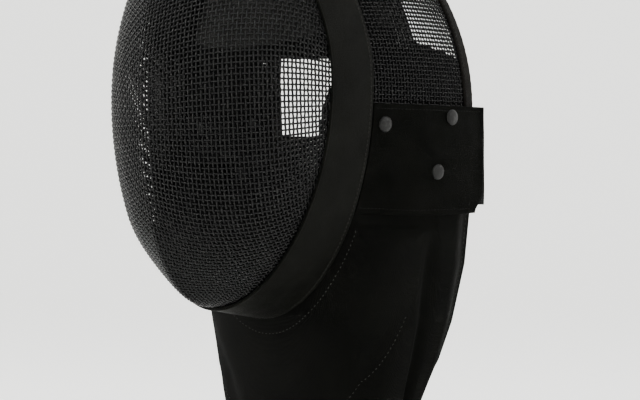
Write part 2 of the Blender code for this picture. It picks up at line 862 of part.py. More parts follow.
def cut_holes(item, cutters):
    """Cut each cutter out of a sub-part."""
    for cutter in cutters:
        hole = item.modifiers.new(cutter.name, "BOOLEAN")
        hole.operation = "DIFFERENCE"
        hole.solver = "EXACT"
        hole.object = cutter


clear_scene()
parts = bpy.data.collections.new("fencing_mask")
bpy.context.scene.collection.children.link(parts)
guides = bpy.data.collections.new("cutters")
bpy.context.scene.collection.children.link(guides)

BLACK_WIRE = finish("Black wire", (0.020, 0.020, 0.020), 0.42, 0.7)
BLACK_LEATHER = finish("Black leather", (0.012, 0.012, 0.011), 0.62)
BLACK_CLOTH = finish("Black cloth", (0.008, 0.008, 0.008), 0.9)
BLACK_ELASTIC = finish("Black elastic", (0.010, 0.010, 0.010), 0.8)
GREY_LINING = finish("Grey lining", (0.050, 0.050, 0.048), 0.9)
BLACK_METAL = finish("Blackened metal", (0.030, 0.030, 0.029), 0.4, 0.8)
FINISHES = {
    "face_mesh": BLACK_WIRE,
    "crown_mesh": BLACK_WIRE,
    "face_band": BLACK_LEATHER,
    "rear_trim": BLACK_LEATHER,
    "side_panel_left": BLACK_LEATHER,
    "side_panel_right": BLACK_LEATHER,
    "tongue": BLACK_LEATHER,
    "nape_pad": BLACK_CLOTH,
    "bib": BLACK_CLOTH,
    "back_strap": BLACK_ELASTIC,
    "brow_pad": GREY_LINING,
    "chin_pad": BLACK_CLOTH,
    "lining_left": BLACK_CLOTH,
    "lining_right": BLACK_CLOTH,
}

seat = Vector((0, BROW_CENTRE_Y, brow_point(0.0, 1.0).z - BROW_THICKNESS))
mask = bpy.data.objects.new("mask", None)
mask.location = -seat
bpy.context.scene.collection.objects.link(mask)

build_face_mesh()
build_face_band()
crown_mesh = build_crown_mesh()
build_rear_trim()
back_strap = build_back_strap()
build_tongue()
build_nape_pad()
build_brow_pad()
build_chin_pad()
build_bib()
for side in (1, -1):
    panel = build_side_panel(side)
    build_lining(side)
    holes = build_rivets(side)
    cut_holes(panel, holes)
    cut_holes(crown_mesh, holes)
    cut_holes(back_strap, holes)
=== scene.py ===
"""Looks of a worn fencing mask: woven wire, leather, cloth and metal, in front of a pale backdrop.

Metres, +Z up, in the row frame. The mask looks along -Y. Shapes are worked out in the mask's own
frame, which has its origin at the middle of the widest line of the face, and then moved to the row
frame, which has its origin at the seat of the head.
"""
import math
import random

import bmesh
import bpy
import numpy as np
from mathutils import Matrix, Vector


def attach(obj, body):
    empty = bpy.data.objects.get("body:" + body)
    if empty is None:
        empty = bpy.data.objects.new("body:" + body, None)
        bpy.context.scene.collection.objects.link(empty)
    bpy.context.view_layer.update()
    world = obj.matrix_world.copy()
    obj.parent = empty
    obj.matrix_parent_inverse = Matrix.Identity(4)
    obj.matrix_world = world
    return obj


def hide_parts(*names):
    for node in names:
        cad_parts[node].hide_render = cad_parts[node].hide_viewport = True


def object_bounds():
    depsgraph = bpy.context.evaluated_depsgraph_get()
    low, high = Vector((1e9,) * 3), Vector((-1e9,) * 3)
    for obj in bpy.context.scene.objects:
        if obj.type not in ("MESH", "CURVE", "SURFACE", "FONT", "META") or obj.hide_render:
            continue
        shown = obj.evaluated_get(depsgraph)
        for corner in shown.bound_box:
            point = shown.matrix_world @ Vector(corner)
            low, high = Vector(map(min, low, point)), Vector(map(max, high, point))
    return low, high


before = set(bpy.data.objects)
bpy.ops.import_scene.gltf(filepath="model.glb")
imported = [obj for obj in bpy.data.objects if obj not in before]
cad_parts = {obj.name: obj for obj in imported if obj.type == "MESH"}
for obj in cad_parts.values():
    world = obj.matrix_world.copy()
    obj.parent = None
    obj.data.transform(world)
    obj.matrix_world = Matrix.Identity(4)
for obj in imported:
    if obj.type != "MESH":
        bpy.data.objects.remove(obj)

cad_box = [list(corner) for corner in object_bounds()]

# Seat of the head in the mask's own frame
SEAT = Vector((0, -0.020, 0.1455))

# Sizes that the frame's solids are built to
FACE_HALF_WIDTH = 0.0953
FACE_CENTRE_Z = 0.020
FACE_RISE = 0.133
FACE_DROP = 0.163
RIM_Y = -0.0894
TOP_LEAN = 0.030
CHIN_LEAN = 0.0232
RIDGE_Y = -0.185
RIDGE_TOP_POWER = 1.75
RIDGE_CHIN_POWER = 2.4
FLANK_ARC = math.radians(39.5)
CHIN_ARC = math.radians(5)
TOP_FLATTENING = 0.25
CHIN_FLAT_SHARE = 0.05
CHIN_FULL_SHARE = 0.32
BULGE_Y = -0.060
BAND_WIDTH = 0.041
BAND_FLARE = 0.0027
BAND_CHIN_DROP = 0.008
BAND_CHIN_LEAN = 0.012
BAND_THICKNESS = 0.002
TUCK = 0.008
WIRE_DEPTH = 0.0033
GAP = 0.0003
WIRE_THICKNESS = 0.002
ARCH_HALF_WIDTH = 0.0995
ARCH_Y = 0.058
ARCH_RISE = 0.1462
ARCH_LEAN = 0.0364
CROWN_SIDE_ARC = math.radians(8)
CROWN_TOP_ARC = math.radians(14)
CROWN_LOW_Z = -0.035
TRIM_WIDTH = 0.011
TRIM_THICKNESS = 0.001
PANEL_TOP_Z = 0.0058
PANEL_LOW_Z = -0.073
PANEL_THICKNESS = 0.002
PANEL_OVERHANG = 0.008
PANEL_CLEARANCE = 0.0009
PANEL_CORNER = 0.010
PANEL_CORNER_SHARE = 0.80
PANEL_STEP = (0.15, 0.50)
RIVET_RADIUS = 0.0058
RIVET_DOME = 0.0026
SHANK_RADIUS = 0.0020
WASHER_RADIUS = 0.0048
WASHER_THICKNESS = 0.0012
STRAP_TOP_Z = -0.012
STRAP_WIDTH = 0.055
STRAP_THICKNESS = 0.002
STRAP_BACK_Y = 0.110
STRAP_GRIP = 0.52
STRAP_END_SHARE = 0.30
STRAP_STEP = (0.72, 0.84)
TONGUE_HALF_WIDTH = 0.023
TONGUE_THICKNESS = 0.002
TONGUE_POWER = 1.5
TONGUE_LOW_Z = 0.040
TONGUE_START = 0.0132
BACK_LINE_LOW_Z = -0.0305
LINING_THICKNESS = 0.0025
LINING_CLEARANCE = 0.0009
LINING_LOW_Z = 0.0035
LINING_TUCK = 0.005
LINING_END = 0.005
LINING_STEP = (0.76, 0.86)
BIB_THICKNESS = 0.002
BIB_TOP_Z = -0.060
BIB_TIP_Z = -0.266
BIB_TIP_Y = -0.047
BIB_CORNER_Z = -0.207
BIB_HALF_WIDTH = 0.0965
BIB_REAR_Y = 0.082
BIB_TURN_IN = 0.016
BIB_TURN_START = 0.78
BIB_POWER = 2.5
BIB_CHIN_POWER = 0.7
BIB_TIP_POWER = 3
BIB_TOP_ROW = 0.002
BIB_CENTRE_Y = -0.010
BIB_FLAT = 0.010
BIB_CLEARANCE = 0.0007
FOLD_START = 0.25
FOLD_END = 0.20

# Rivets of one side: height, and share of the way from the band to the arch
RIVETS = {
    "front": (-0.0090, 0.11),
    "rear": (-0.0025, 0.70),
    "lower": (-0.0418, 0.59),
}

# Top edge of a side lining: it passes under the brow pad, then rises and slopes to the arch
LINING_TOP = (
    # back, height
    (0.00, 0.0366),
    (0.36, 0.0366),
    (0.44, 0.0535),
    (1.00, 0.0415),
)

# Arc of the bib's lower seam: share down at the middle, rise to its ends, place of an end and power
ARC_LOW = 0.70
ARC_RISE = 0.32
ARC_END = 0.50
ARC_POWER = 5.5

# Sections of the bib by height, as shares of its height, its half width and its rear edge
BIB_SECTIONS = (
    # down, half width, rear
    (0.00, 1.00, 1.00),
    (0.25, 0.99, 0.92),
    (0.46, 0.96, 0.78),
    (0.60, 0.91, 0.66),
    (0.76, 0.84, 0.42),
    (1.00, 0.72, 0.00),
)

# Folds of the bib: place round it, shares down it of start and end, width, depth and slant
BIB_FOLDS = (
    # round, start, end, width, depth, slant
    (0.60, 0.05, 0.95, 0.045, 0.0045, -0.05),
    (0.40, 0.30, 0.95, 0.060, 0.0035, -0.30),
    (-0.55, 0.05, 0.95, 0.050, 0.0040, 0.08),
    (-0.25, 0.35, 1.00, 0.060, 0.0030, 0.20),
    (0.05, 0.45, 1.00, 0.070, 0.0025, 0.05),
)

# Weave of the wire: a wire with few sides is drawn fuller, so that it covers as much as a round one
WIRE_PITCH = 0.0031
WIRE_RADIUS = 0.00074
WIRE_SWING = 0.00063
WIRE_TUCK_SHARE = 0.8
FACE_WIRE_SIDES = 1
FACE_WIRE_FULLNESS = 1.04
CROWN_WIRE_SIDES = 0
CROWN_WIRE_FULLNESS = 1.12

# Stitches
STITCH_PITCH = 0.0032
STITCH_LENGTH = 0.0022
STITCH_RADIUS = 0.00028
STITCH_LIFT = 0.00022
BAND_STITCH_LENGTH = 0.0015
BIB_STITCH_PITCH = 0.0036
BIB_STITCH_LENGTH = 0.0013
STITCH_PROFILE = (
    # share of its length, height as a share of the lift
    (0.00, -1.2),
    (0.18, 0.5),
    (0.50, 1.0),
    (0.82, 0.5),
    (1.00, -1.2),
)

# Swells, ripples and seams of the leather, the elastic and the linings
BAND_DOME_SHARE = 0.5
BAND_RIPPLE = 0.00035
BAND_SEAM_SHARE = 0.925
BAND_CORD_SHARE = 0.012
BAND_CORD_RADIUS = 0.00060
BAND_CORD_LIFT = 0.00005
TRIM_PUCKER = 0.00012
TRIM_SEAM_REACH = 0.0085
PANEL_SWELL = 0.0007
PANEL_CREASE = 0.0005
PANEL_RIPPLE = 0.0002
STRAP_WAVE = 0.0005
LINING_PUCKER = 0.0004

# Thin edging inside the crown: from the band back, and up beside it
EDGING_START = -0.006
EDGING_LENGTH = 0.052
EDGING_LOW_Z = 0.030
EDGING_TOP_Z = 0.046
EDGING_RISE = 0.060
EDGING_STEP = (0.012, 0.020)
EDGING_OFFSET = 0.00135
EDGING_THICKNESS = 0.0002

# Rows of the bib's mesh, the groove along its arc shaped seam, and its small rumples
BIB_ROWS = 80
BIB_TUCKED_ROWS = 4
BIB_COLUMNS = 200
BIB_GROOVE_DEPTH = 0.0008
BIB_GROOVE_WIDTH = 0.014
RUMPLE_COUNT = 26
RUMPLE_RANGES = (
    # lowest, highest
    (-1.0, 1.0),  # place round the bib
    (0.2, 1.0),  # share down it
    (0.03, 0.10),  # width
    (0.06, 0.25),  # height
    (-0.9, 0.9),  # slant
    (-0.0009, 0.0009),  # depth
)

# Painted shadow on the brow pad: the heights between which its shaded dark lower strip turns to grey,
# and the curve of that line
BROW_SHADOW_Z = (0.0468, 0.0480)
BROW_SHADOW_CURVE = 1.85

# Soft square lights
LIGHTS = {
    # name: azimuth and elevation in degrees, distance, size, power
    "key": (-40, 35, 2.2, 1.2, 38),
    "fill": (110, 25, 2.6, 1.4, 16),
    "top": (30, 85, 2.4, 1.4, 26),
}
SURROUND_STRENGTH = 1.6

# Camera of the photograph
CAMERA_TURN = math.radians(43)
CAMERA_DISTANCE = 1.8
CAMERA_HEIGHT = -0.0635
FOCAL_PIXELS = 2376
IMAGE_WIDTH = 640


def row(point):
    """Point of the mask's own frame in the row frame."""
    return Vector(point) - SEAT


def signed_power(value, exponent):
    """Power of the value's size, with its sign kept."""
    return math.copysign(abs(value) ** exponent, value)


def ease(low, high, value):
    """Smooth step from 0 at low to 1 at high."""
    share = min(max((value - low) / (high - low), 0.0), 1.0)
    return share * share * (3 - 2 * share)


def oval(angle, half_width, centre_y, rise, drop, top_lean, chin_lean):
    """Point of a leaning oval: angle 0 is the top, a quarter turn is the +X side."""
    cosine = math.cos(angle)
    height = rise if cosine > 0 else drop
    lean = top_lean if cosine > 0 else chin_lean
    y = centre_y - lean * cosine * cosine
    return Vector((half_width * math.sin(angle), y, FACE_CENTRE_Z + height * cosine))


def front_rim(angle):
    """Front edge of the band's outer face."""
    return oval(angle, FACE_HALF_WIDTH, RIM_Y, FACE_RISE, FACE_DROP, TOP_LEAN, CHIN_LEAN)


def rear_rim(angle):
    """Rear edge of the band's outer face."""
    half_width = FACE_HALF_WIDTH + BAND_FLARE
    drop = FACE_DROP + BAND_CHIN_DROP
    return oval(angle, half_width, RIM_Y + BAND_WIDTH, FACE_RISE, drop, TOP_LEAN, BAND_CHIN_LEAN)


def band_frame(angle):
    """Direction across the band from front to rear, and its outward normal."""
    step = 0.01
    across = (rear_rim(angle) - front_rim(angle)).normalized()
    along = rear_rim(angle + step) - rear_rim(angle - step)
    along += front_rim(angle + step) - front_rim(angle - step)
    normal = across.cross(along).normalized()
    if normal.dot(rear_rim(angle) - Vector((0, RIM_Y, FACE_CENTRE_Z))) < 0:
        normal = -normal
    return across, normal


def under_band(angle, rear, depth):
    """Point below the band's front or rear edge, the direction across it and its normal."""
    across, normal = band_frame(angle)
    edge = rear_rim(angle) if rear else front_rim(angle)
    return edge - normal * depth, across, normal


def wire_rim(angle):
    """Where the middle of the face wire goes under the band."""
    return under_band(angle, False, WIRE_DEPTH)[0]


def ridge(angle):
    """Point of the ridge in the middle plane: angle 0 is the top, half a turn is the chin."""
    cosine = math.cos(angle)
    power = RIDGE_TOP_POWER if cosine > 0 else RIDGE_CHIN_POWER
    end = wire_rim(0.0 if cosine > 0 else math.pi)
    forward = abs(math.sin(angle)) ** (2 / power)
    rise = abs(end.z - FACE_CENTRE_Z) * signed_power(cosine, 2 / power)
    return Vector((0, end.y + (RIDGE_Y - end.y) * forward, FACE_CENTRE_Z + rise))


def flank_arc(down):
    """How far a flank bulges: full at the middle, less towards the top, flat at the chin."""
    top = 1 - TOP_FLATTENING * (1 - ease(0.0, 0.5, down))
    chin = ease(CHIN_FLAT_SHARE, CHIN_FULL_SHARE, 1 - down)
    return CHIN_ARC + (FLANK_ARC - CHIN_ARC) * top * chin


def by_length(curve, start, end, steps=360):
    """Function that gives the curve's angle at a share of its length, and that length."""
    angles = np.linspace(start, end, steps + 1)
    points = [curve(angle) for angle in angles]
    reach = np.zeros(steps + 1)
    for index in range(steps):
        reach[index + 1] = reach[index] + (points[index + 1] - points[index]).length
    return (lambda share: float(np.interp(share * reach[-1], reach, angles))), float(reach[-1])


def arc_points(start, end, outward, half_arc, shares):
    """Points at shares of the arc from start to end that leaves its chord at the angle half_arc."""
    chord = end - start
    if chord.length < 1e-7:
        return np.repeat(np.array([start]), len(shares), axis=0), 0.0
    bulge = (outward - chord * (outward.dot(chord) / chord.length_squared)).normalized()
    turn = half_arc * (2 * np.asarray(shares) - 1)
    along = (np.sin(turn) + math.sin(half_arc)) / (2 * math.sin(half_arc))
    height = (np.cos(turn) - math.cos(half_arc)) / (2 * math.sin(half_arc)) * chord.length
    points = np.array(start) + along[:, None] * np.array(chord) + height[:, None] * np.array(bulge)
    return points, chord.length * half_arc / math.sin(half_arc)


def arch(angle):
    """Rear edge of the crown: an arch on two upright legs, the middle of the wire."""
    if abs(angle) <= math.pi / 2:
        cosine = math.cos(angle)
        y = ARCH_Y - ARCH_LEAN * cosine * cosine
        return Vector((ARCH_HALF_WIDTH * math.sin(angle), y, PANEL_TOP_Z + ARCH_RISE * cosine))
    leg = abs(angle) - math.pi / 2
    half_width = math.copysign(ARCH_HALF_WIDTH, angle)
    return Vector((half_width, ARCH_Y, PANEL_TOP_Z - leg * ARCH_HALF_WIDTH))


def rear_rim_angle_at(height):
    """Angle of the rear rim on the +X side at a height."""
    offset = height - FACE_CENTRE_Z
    reach = FACE_RISE if offset > 0 else FACE_DROP + BAND_CHIN_DROP
    return math.acos(max(-1.0, min(1.0, offset / reach)))


def crown_front(angle):
    """Where the middle of the crown wire goes under the band."""
    return under_band(angle, True, WIRE_DEPTH)[0]


ridge_angle, RIDGE_LENGTH = by_length(ridge, 0.0, math.pi)
rim_angle, _ = by_length(wire_rim, 0.0, math.pi)
front_turn_at, _ = by_length(crown_front, 0.0, rear_rim_angle_at(PANEL_TOP_Z))
rear_turn_at, ARCH_LENGTH = by_length(arch, 0.0, math.pi / 2)


def crown_row(around):
    """Start, end, direction at the start, outward side and arc of the crown's wire at a place."""
    size = abs(around)
    if size <= 1:
        front_turn = front_turn_at(size)
        rear_turn = rear_turn_at(size)
    else:
        front_turn = rear_rim_angle_at(PANEL_TOP_Z - (size - 1) * ARCH_HALF_WIDTH)
        rear_turn = math.pi / 2 + (size - 1)
    start, across, outward = under_band(front_turn, True, WIRE_DEPTH)
    share = math.cos(min(rear_turn, math.pi / 2)) ** 2
    half_arc = CROWN_SIDE_ARC + (CROWN_TOP_ARC - CROWN_SIDE_ARC) * share
    return start, arch(rear_turn), across, outward, half_arc


def side_frame(around, back):
    """Middle of the crown wire and its outward normal: back 0 at the band, 1 at the arch."""
    def point_at(around, back):
        start, end, across, outward, half_arc = crown_row(around)
        point = Vector(arc_points(start, end, outward, half_arc, [min(max(back, 0.0), 1.0)])[0][0])
        if back < 0:
            point = start + across * back * (end - start).length
        if back > 1:
            point = end + Vector((0, 1, 0)) * (back - 1) * (end - start).length
        return Vector((math.copysign(point.x, around), point.y, point.z))

    step = 0.01
    point = point_at(around, back)
    along_back = point_at(around, back + step) - point_at(around, back - step)
    along_round = point_at(around + step, back) - point_at(around - step, back)
    normal = along_back.cross(along_round).normalized()
    if normal.dot(point - Vector((0, point.y, 0))) < 0:
        normal = -normal
    return point, normal


def around_at(height):
    """Measure round the crown at a height below the panel's top edge."""
    return 1 + (PANEL_TOP_Z - height) / ARCH_HALF_WIDTH


def around_of(height, back):
    """Measure round the crown where its side is at a height above the panel."""
    low, high = 1.2, 0.4
    for _ in range(16):
        middle = (low + high) / 2
        if side_frame(middle, back)[0].z < height:
            low = middle
        else:
            high = middle
    return low


def crown_length(around):
    """Length from the band to the arch."""
    return (side_frame(around, 1.0)[0] - side_frame(around, 0.0)[0]).length


TRIM_OFFSET = WIRE_THICKNESS / 2 + GAP + TRIM_THICKNESS
STRAP_REAR_OFFSET = TRIM_OFFSET + GAP
FRONT_OFFSET = WIRE_THICKNESS / 2 + GAP
PANEL_REAR_OFFSET = STRAP_REAR_OFFSET + STRAP_THICKNESS + GAP


def strap_offset(back):
    """Distance of the strap's inner face from the middle of the wire."""
    return FRONT_OFFSET + (STRAP_REAR_OFFSET - FRONT_OFFSET) * ease(*STRAP_STEP, back)


def panel_offset(back):
    """Distance of the panel's inner face from the middle of the wire."""
    return FRONT_OFFSET + (PANEL_REAR_OFFSET - FRONT_OFFSET) * ease(*PANEL_STEP, back)


def lining_offset(back):
    """Distance of the lining's outer face from the middle of the wire."""
    front = WIRE_THICKNESS / 2 + LINING_CLEARANCE
    rear = TRIM_OFFSET + LINING_CLEARANCE
    return front + (rear - front) * ease(*LINING_STEP, back)


def strap_point(along, down):
    """Inner face of the strap: along -1 to 1 from end to end, down 0 to 1 across its width."""
    height = STRAP_TOP_Z - STRAP_WIDTH * down
    around = around_at(height)
    size = abs(along)
    free_share = 1 - STRAP_END_SHARE
    if size >= free_share:
        back = 1 - STRAP_GRIP * (size - free_share) / STRAP_END_SHARE
        point, normal = side_frame(math.copysign(around, along), back)
        return point + normal * strap_offset(back)
    turn = size / free_share * math.pi / 2
    start, normal = side_frame(around, 1.0)
    start = start + normal * STRAP_REAR_OFFSET
    depth = STRAP_BACK_Y - STRAP_THICKNESS - start.y
    x = math.copysign(start.x * math.sin(turn), along)
    return Vector((x, start.y + depth * math.cos(turn), start.z))


def tongue_line(height):
    """Outer face of the tongue in the middle plane, at a height."""
    start, normal = side_frame(0.0, 1 - TONGUE_START / crown_length(0.0))
    start = start - normal * (TRIM_OFFSET + 2 * GAP)
    share = (height - BACK_LINE_LOW_Z) / (start.z - BACK_LINE_LOW_Z)
    share = max(0.0, min(1.0, share))
    reach = (1 - share ** TONGUE_POWER) ** (1 / TONGUE_POWER)
    end_y = STRAP_BACK_Y - STRAP_THICKNESS + TONGUE_THICKNESS
    return start.y + (end_y - start.y) * reach, start.z


def back_sweep(x):
    """How far the strap's inner face has come forward at a distance from the middle."""
    start, normal = side_frame(around_at(STRAP_TOP_Z), 1.0)
    start = start + normal * STRAP_REAR_OFFSET
    return (STRAP_BACK_Y - STRAP_THICKNESS - start.y) * (1 - math.sqrt(1 - (x / start.x) ** 2))


def bib_corner(angle):
    """Where the bib's outer face comes out from under the band's rear edge."""
    point, across, _ = under_band(angle, True, BAND_THICKNESS + BIB_CLEARANCE)
    return point + across * BIB_CLEARANCE, across


def bib_size(height):
    """Half width and rear edge of the bib at a height."""
    down = (BIB_TOP_Z - height) / (BIB_TOP_Z - BIB_TIP_Z)
    downs, widths, rears = zip(*BIB_SECTIONS)
    width = BIB_HALF_WIDTH * float(np.interp(down, downs, widths))
    return width, BIB_REAR_Y * float(np.interp(down, downs, rears))


def bib_edge_table():
    """Height, place and turn of the bib's front edge along the band, from the chin upwards."""
    rows = []
    for angle in np.linspace(math.pi, rear_rim_angle_at(BIB_TOP_Z), 60):
        corner, _ = bib_corner(angle)
        width = bib_size(corner.z)[0]
        turn = math.asin(min(1.0, abs(corner.x) / width) ** (BIB_POWER / 2))
        rows.append((corner.z, abs(corner.x), corner.y, turn))
    return np.array(rows)


BIB_EDGE = bib_edge_table()
CHIN_Z = BIB_EDGE[0, 0]
CHIN_Y = BIB_EDGE[0, 2]


def bib_front(height):
    """Foremost point of the bib's whole section at a height, ahead of what the band cuts off."""
    if height < CHIN_Z:
        down = (CHIN_Z - height) / (CHIN_Z - BIB_TIP_Z)
        return CHIN_Y + (BIB_TIP_Y - CHIN_Y) * down ** BIB_CHIN_POWER
    x = float(np.interp(height, BIB_EDGE[:, 0], BIB_EDGE[:, 1]))
    y = float(np.interp(height, BIB_EDGE[:, 0], BIB_EDGE[:, 2]))
    return y / (1 - (x / bib_size(height)[0]) ** BIB_POWER) ** (1 / BIB_POWER)


def bib_turn(size):
    """Turn of the bib's section from the middle of the front to the side, evenly spaced across X."""
    return math.pi / 2 * min(2 * size, 1.0) ** (BIB_POWER / 2)


def bib_place(size, height):
    """Smooth outer face of the bib: size 0 at the middle of the front, 1 at its rear edge."""
    width, rear = bib_size(height)
    turn = bib_turn(size)
    x = width * math.sin(turn) ** (2 / BIB_POWER)
    y = bib_front(height) * max(math.cos(turn), 0.0) ** (2 / BIB_POWER)
    if size > 0.5:
        y = rear * (size - 0.5) / 0.5
    if height > CHIN_Z:
        start = rear_rim(rear_rim_angle_at(height)).y
        back = max((y - start) / (ARCH_Y - start), 0.0)
        point = side_frame(around_at(height), back)[0]
        below = max(PANEL_LOW_Z - BIB_FLAT - height, 0.0)
        x = min(x, point.x + WIRE_THICKNESS / 2 - BIB_CLEARANCE + below)
    x -= BIB_TURN_IN * ease(BIB_TURN_START, 1.0, size)
    return Vector((x, y, height))


def bib_arc(size):
    """Share down the bib of its arc shaped seam, at a place round it."""
    return ARC_LOW - ARC_RISE * min(size / ARC_END, 1.0) ** ARC_POWER


def bib_ends(size):
    """Top and bottom of the bib at a place, and the band's angle where it passes under the band."""
    low = BIB_TIP_Z + (BIB_CORNER_Z - BIB_TIP_Z) * size ** BIB_TIP_POWER
    turn = bib_turn(size)
    if size < 0.5 and turn < BIB_EDGE[-1, 3]:
        height = float(np.interp(turn, BIB_EDGE[:, 3], BIB_EDGE[:, 0]))
        return height, low, rear_rim_angle_at(height)
    return BIB_TOP_Z - BIB_TOP_ROW, low, None


def bib_point(round_share, down):
    """Outer face of the bib: down 0 at the band or panel, 1 at the hem, less than 0 under the band."""
    size = abs(round_share)
    top, low, angle = bib_ends(size)
    if down < 0:
        if angle is None:
            point = bib_place(size, top - BIB_TOP_ROW * down)
        else:
            corner, across = bib_corner(angle)
            point = corner + across * TUCK * down
        return Vector((math.copysign(point.x, round_share), point.y, point.z))
    point = bib_place(size, top + (low - top) * down)
    point.x = math.copysign(point.x, round_share)
    outward = Vector((point.x, point.y - BIB_CENTRE_Y, 0)).normalized()
    for place, start, end, width, depth, slant in BIB_FOLDS:
        middle = place + slant * (down - 0.5)
        fade = ease(start, start + FOLD_START, down) * (1 - ease(end, end + FOLD_END, down))
        point = point - outward * depth * fade * math.exp(-((round_share - middle) / width) ** 2)
    return point


# Materials


class Finish:
    """Node material built up step by step on a Principled shader."""

    def __init__(self, name, colour, roughness, metallic=0.0, **sockets):
        self.material = bpy.data.materials.new(name)
        self.material.use_nodes = True
        self.tree = self.material.node_tree
        self.shader = self.tree.nodes["Principled BSDF"]
        self.shader.inputs["Base Color"].default_value = (*colour, 1)
        self.shader.inputs["Roughness"].default_value = roughness
        self.shader.inputs["Metallic"].default_value = metallic
        for socket, value in sockets.items():
            self.shader.inputs[socket.replace("_", " ")].default_value = value
        self.place = self.node("ShaderNodeTexCoord").outputs["Object"]
        self.bump = None

    def node(self, kind, **values):
        """New node with its settings."""
        made = self.tree.nodes.new(kind)
        for name, value in values.items():
            setattr(made, name, value)
        return made

    def link(self, source, target):
        """Join two sockets."""
        self.tree.links.new(source, target)

    def noise(self, scale, detail=3.0, roughness=0.55):
        """Noise at a scale, as a grey value."""
        made = self.node("ShaderNodeTexNoise")
        made.inputs["Scale"].default_value = scale
        made.inputs["Detail"].default_value = detail
        made.inputs["Roughness"].default_value = roughness
        self.link(self.place, made.inputs["Vector"])
        return made.outputs["Fac"]

    def cells(self, scale, feature="F1"):
        """Cell pattern at a scale, as a distance."""
        made = self.node("ShaderNodeTexVoronoi", feature=feature)
        made.inputs["Scale"].default_value = scale
        self.link(self.place, made.inputs["Vector"])
        return made.outputs["Distance"]

    def waves(self, scale, direction, distortion=0.0):
        """Bands along an axis at a scale."""
        made = self.node("ShaderNodeTexWave", wave_type="BANDS", bands_direction=direction)
        made.inputs["Scale"].default_value = scale
        made.inputs["Distortion"].default_value = distortion
        self.link(self.place, made.inputs["Vector"])
        return made.outputs["Fac"]

    def axes(self):
        """The three object coordinates, each as a value."""
        made = self.node("ShaderNodeSeparateXYZ")
        self.link(self.place, made.inputs["Vector"])
        return made.outputs["X"], made.outputs["Y"], made.outputs["Z"]

    def spread(self, value, low, high, start=0.0, end=1.0):
        """Value mapped from a range to another."""
        made = self.node("ShaderNodeMapRange")
        made.inputs["From Min"].default_value = low
        made.inputs["From Max"].default_value = high
        made.inputs["To Min"].default_value = start
        made.inputs["To Max"].default_value = end
        self.link(value, made.inputs["Value"])
        return made.outputs["Result"]

    def combine(self, operation, first, second):
        """Sum, product or other joint value of two values."""
        made = self.node("ShaderNodeMath", operation=operation)
        for socket, value in zip(made.inputs, (first, second)):
            if isinstance(value, (int, float)):
                socket.default_value = value
            else:
                self.link(value, socket)
        return made.outputs[0]

    def colours(self, value, first, second):
        """Base colour between two colours, by a value from 0 to 1."""
        made = self.node("ShaderNodeMix", data_type="RGBA")
        made.inputs[6].default_value = (*first, 1)
        made.inputs[7].default_value = (*second, 1)
        self.link(value, made.inputs["Factor"])
        self.link(made.outputs[2], self.shader.inputs["Base Color"])

    def roughness(self, value):
        """Roughness by a value."""
        self.link(value, self.shader.inputs["Roughness"])

    def relief(self, value, depth):
        """Bump of a depth in metres, on top of any earlier bump."""
        made = self.node("ShaderNodeBump")
        made.inputs["Distance"].default_value = depth
        made.inputs["Strength"].default_value = 1.0
        self.link(value, made.inputs["Height"])
        if self.bump:
            self.link(self.bump, made.inputs["Normal"])
        self.bump = made.outputs["Normal"]
        self.link(self.bump, self.shader.inputs["Normal"])


def black_wire():
    """Black coated steel wire, its coat thinner in places."""
    finish = Finish("black_wire", (0.01, 0.01, 0.01), 0.34, 0.0, Specular_IOR_Level=0.13)
    wear = finish.spread(finish.noise(240, 4), 0.40, 0.70)
    finish.colours(wear, (0.0005, 0.0005, 0.0005), (0.0030, 0.0030, 0.0028))
    finish.roughness(finish.spread(finish.noise(900, 2), 0.3, 0.7, 0.16, 0.28))
    finish.relief(finish.noise(2600, 2), 0.00003)
    return finish.material


def leather(name, dark, light, grain, grain_depth, low_rough, high_rough, shine):
    """Matte black leather with a pebbled grain, soft creases and a patchy sheen."""
    finish = Finish(name, dark, low_rough, Specular_IOR_Level=shine)
    patches = finish.spread(finish.noise(34, 5), 0.32, 0.72)
    finish.colours(patches, dark, light)
    finish.roughness(finish.spread(finish.noise(75, 4), 0.3, 0.72, low_rough, high_rough))
    finish.relief(finish.noise(60, 4), 0.0006)
    pebbles = finish.spread(finish.cells(grain, "DISTANCE_TO_EDGE"), 0.0, 0.25)
    finish.relief(pebbles, grain_depth)
    finish.relief(finish.noise(grain * 2.2, 3), grain_depth * 0.5)
    return finish.material


def brow_shadow_line(finish):
    """0 below the line of painted shadow where the brow pad's shaded dark lower strip meets its grey
    upper part, 1 above it.
    """
    across, _, height = finish.axes()
    rise = finish.combine("MULTIPLY", finish.combine("MULTIPLY", across, across), BROW_SHADOW_CURVE)
    above = finish.combine("SUBTRACT", height, rise)
    return finish.spread(above, BROW_SHADOW_Z[0] - SEAT.z, BROW_SHADOW_Z[1] - SEAT.z)


def cloth(name, dark, light, thread, depth, sheen=0.006, seam=None):
    """Dense woven cloth: two crossed sets of threads, with fuzz, uneven dye and, where seam is given, a
    painted shadow below its line.
    """
    finish = Finish(name, dark, 0.95, Sheen_Weight=sheen, Sheen_Roughness=0.6,
                    Specular_IOR_Level=0.035)
    shade = finish.spread(finish.noise(26, 5), 0.3, 0.75)
    # Painted shadow: below the line that seam gives, the colour is darkened to the dark colour to stand
    # in for shade
    if seam:
        unshadowed = seam(finish)
        finish.relief(unshadowed, 0.0008)
        even = finish.combine("ADD", finish.combine("MULTIPLY", shade, 0.4), 0.6)
        shade = finish.combine("MULTIPLY", even, unshadowed)
    finish.colours(shade, dark, light)
    across = finish.waves(thread, "X", distortion=0.6)
    upright = finish.waves(thread, "Z", distortion=0.6)
    deep = finish.waves(thread, "Y", distortion=0.6)
    weave = finish.combine("MULTIPLY", finish.combine("ADD", across, deep), upright)
    finish.relief(weave, depth)
    finish.relief(finish.noise(thread * 1.7, 4), depth * 1.2)
    finish.relief(finish.noise(48, 4), 0.0008)
    return finish.material


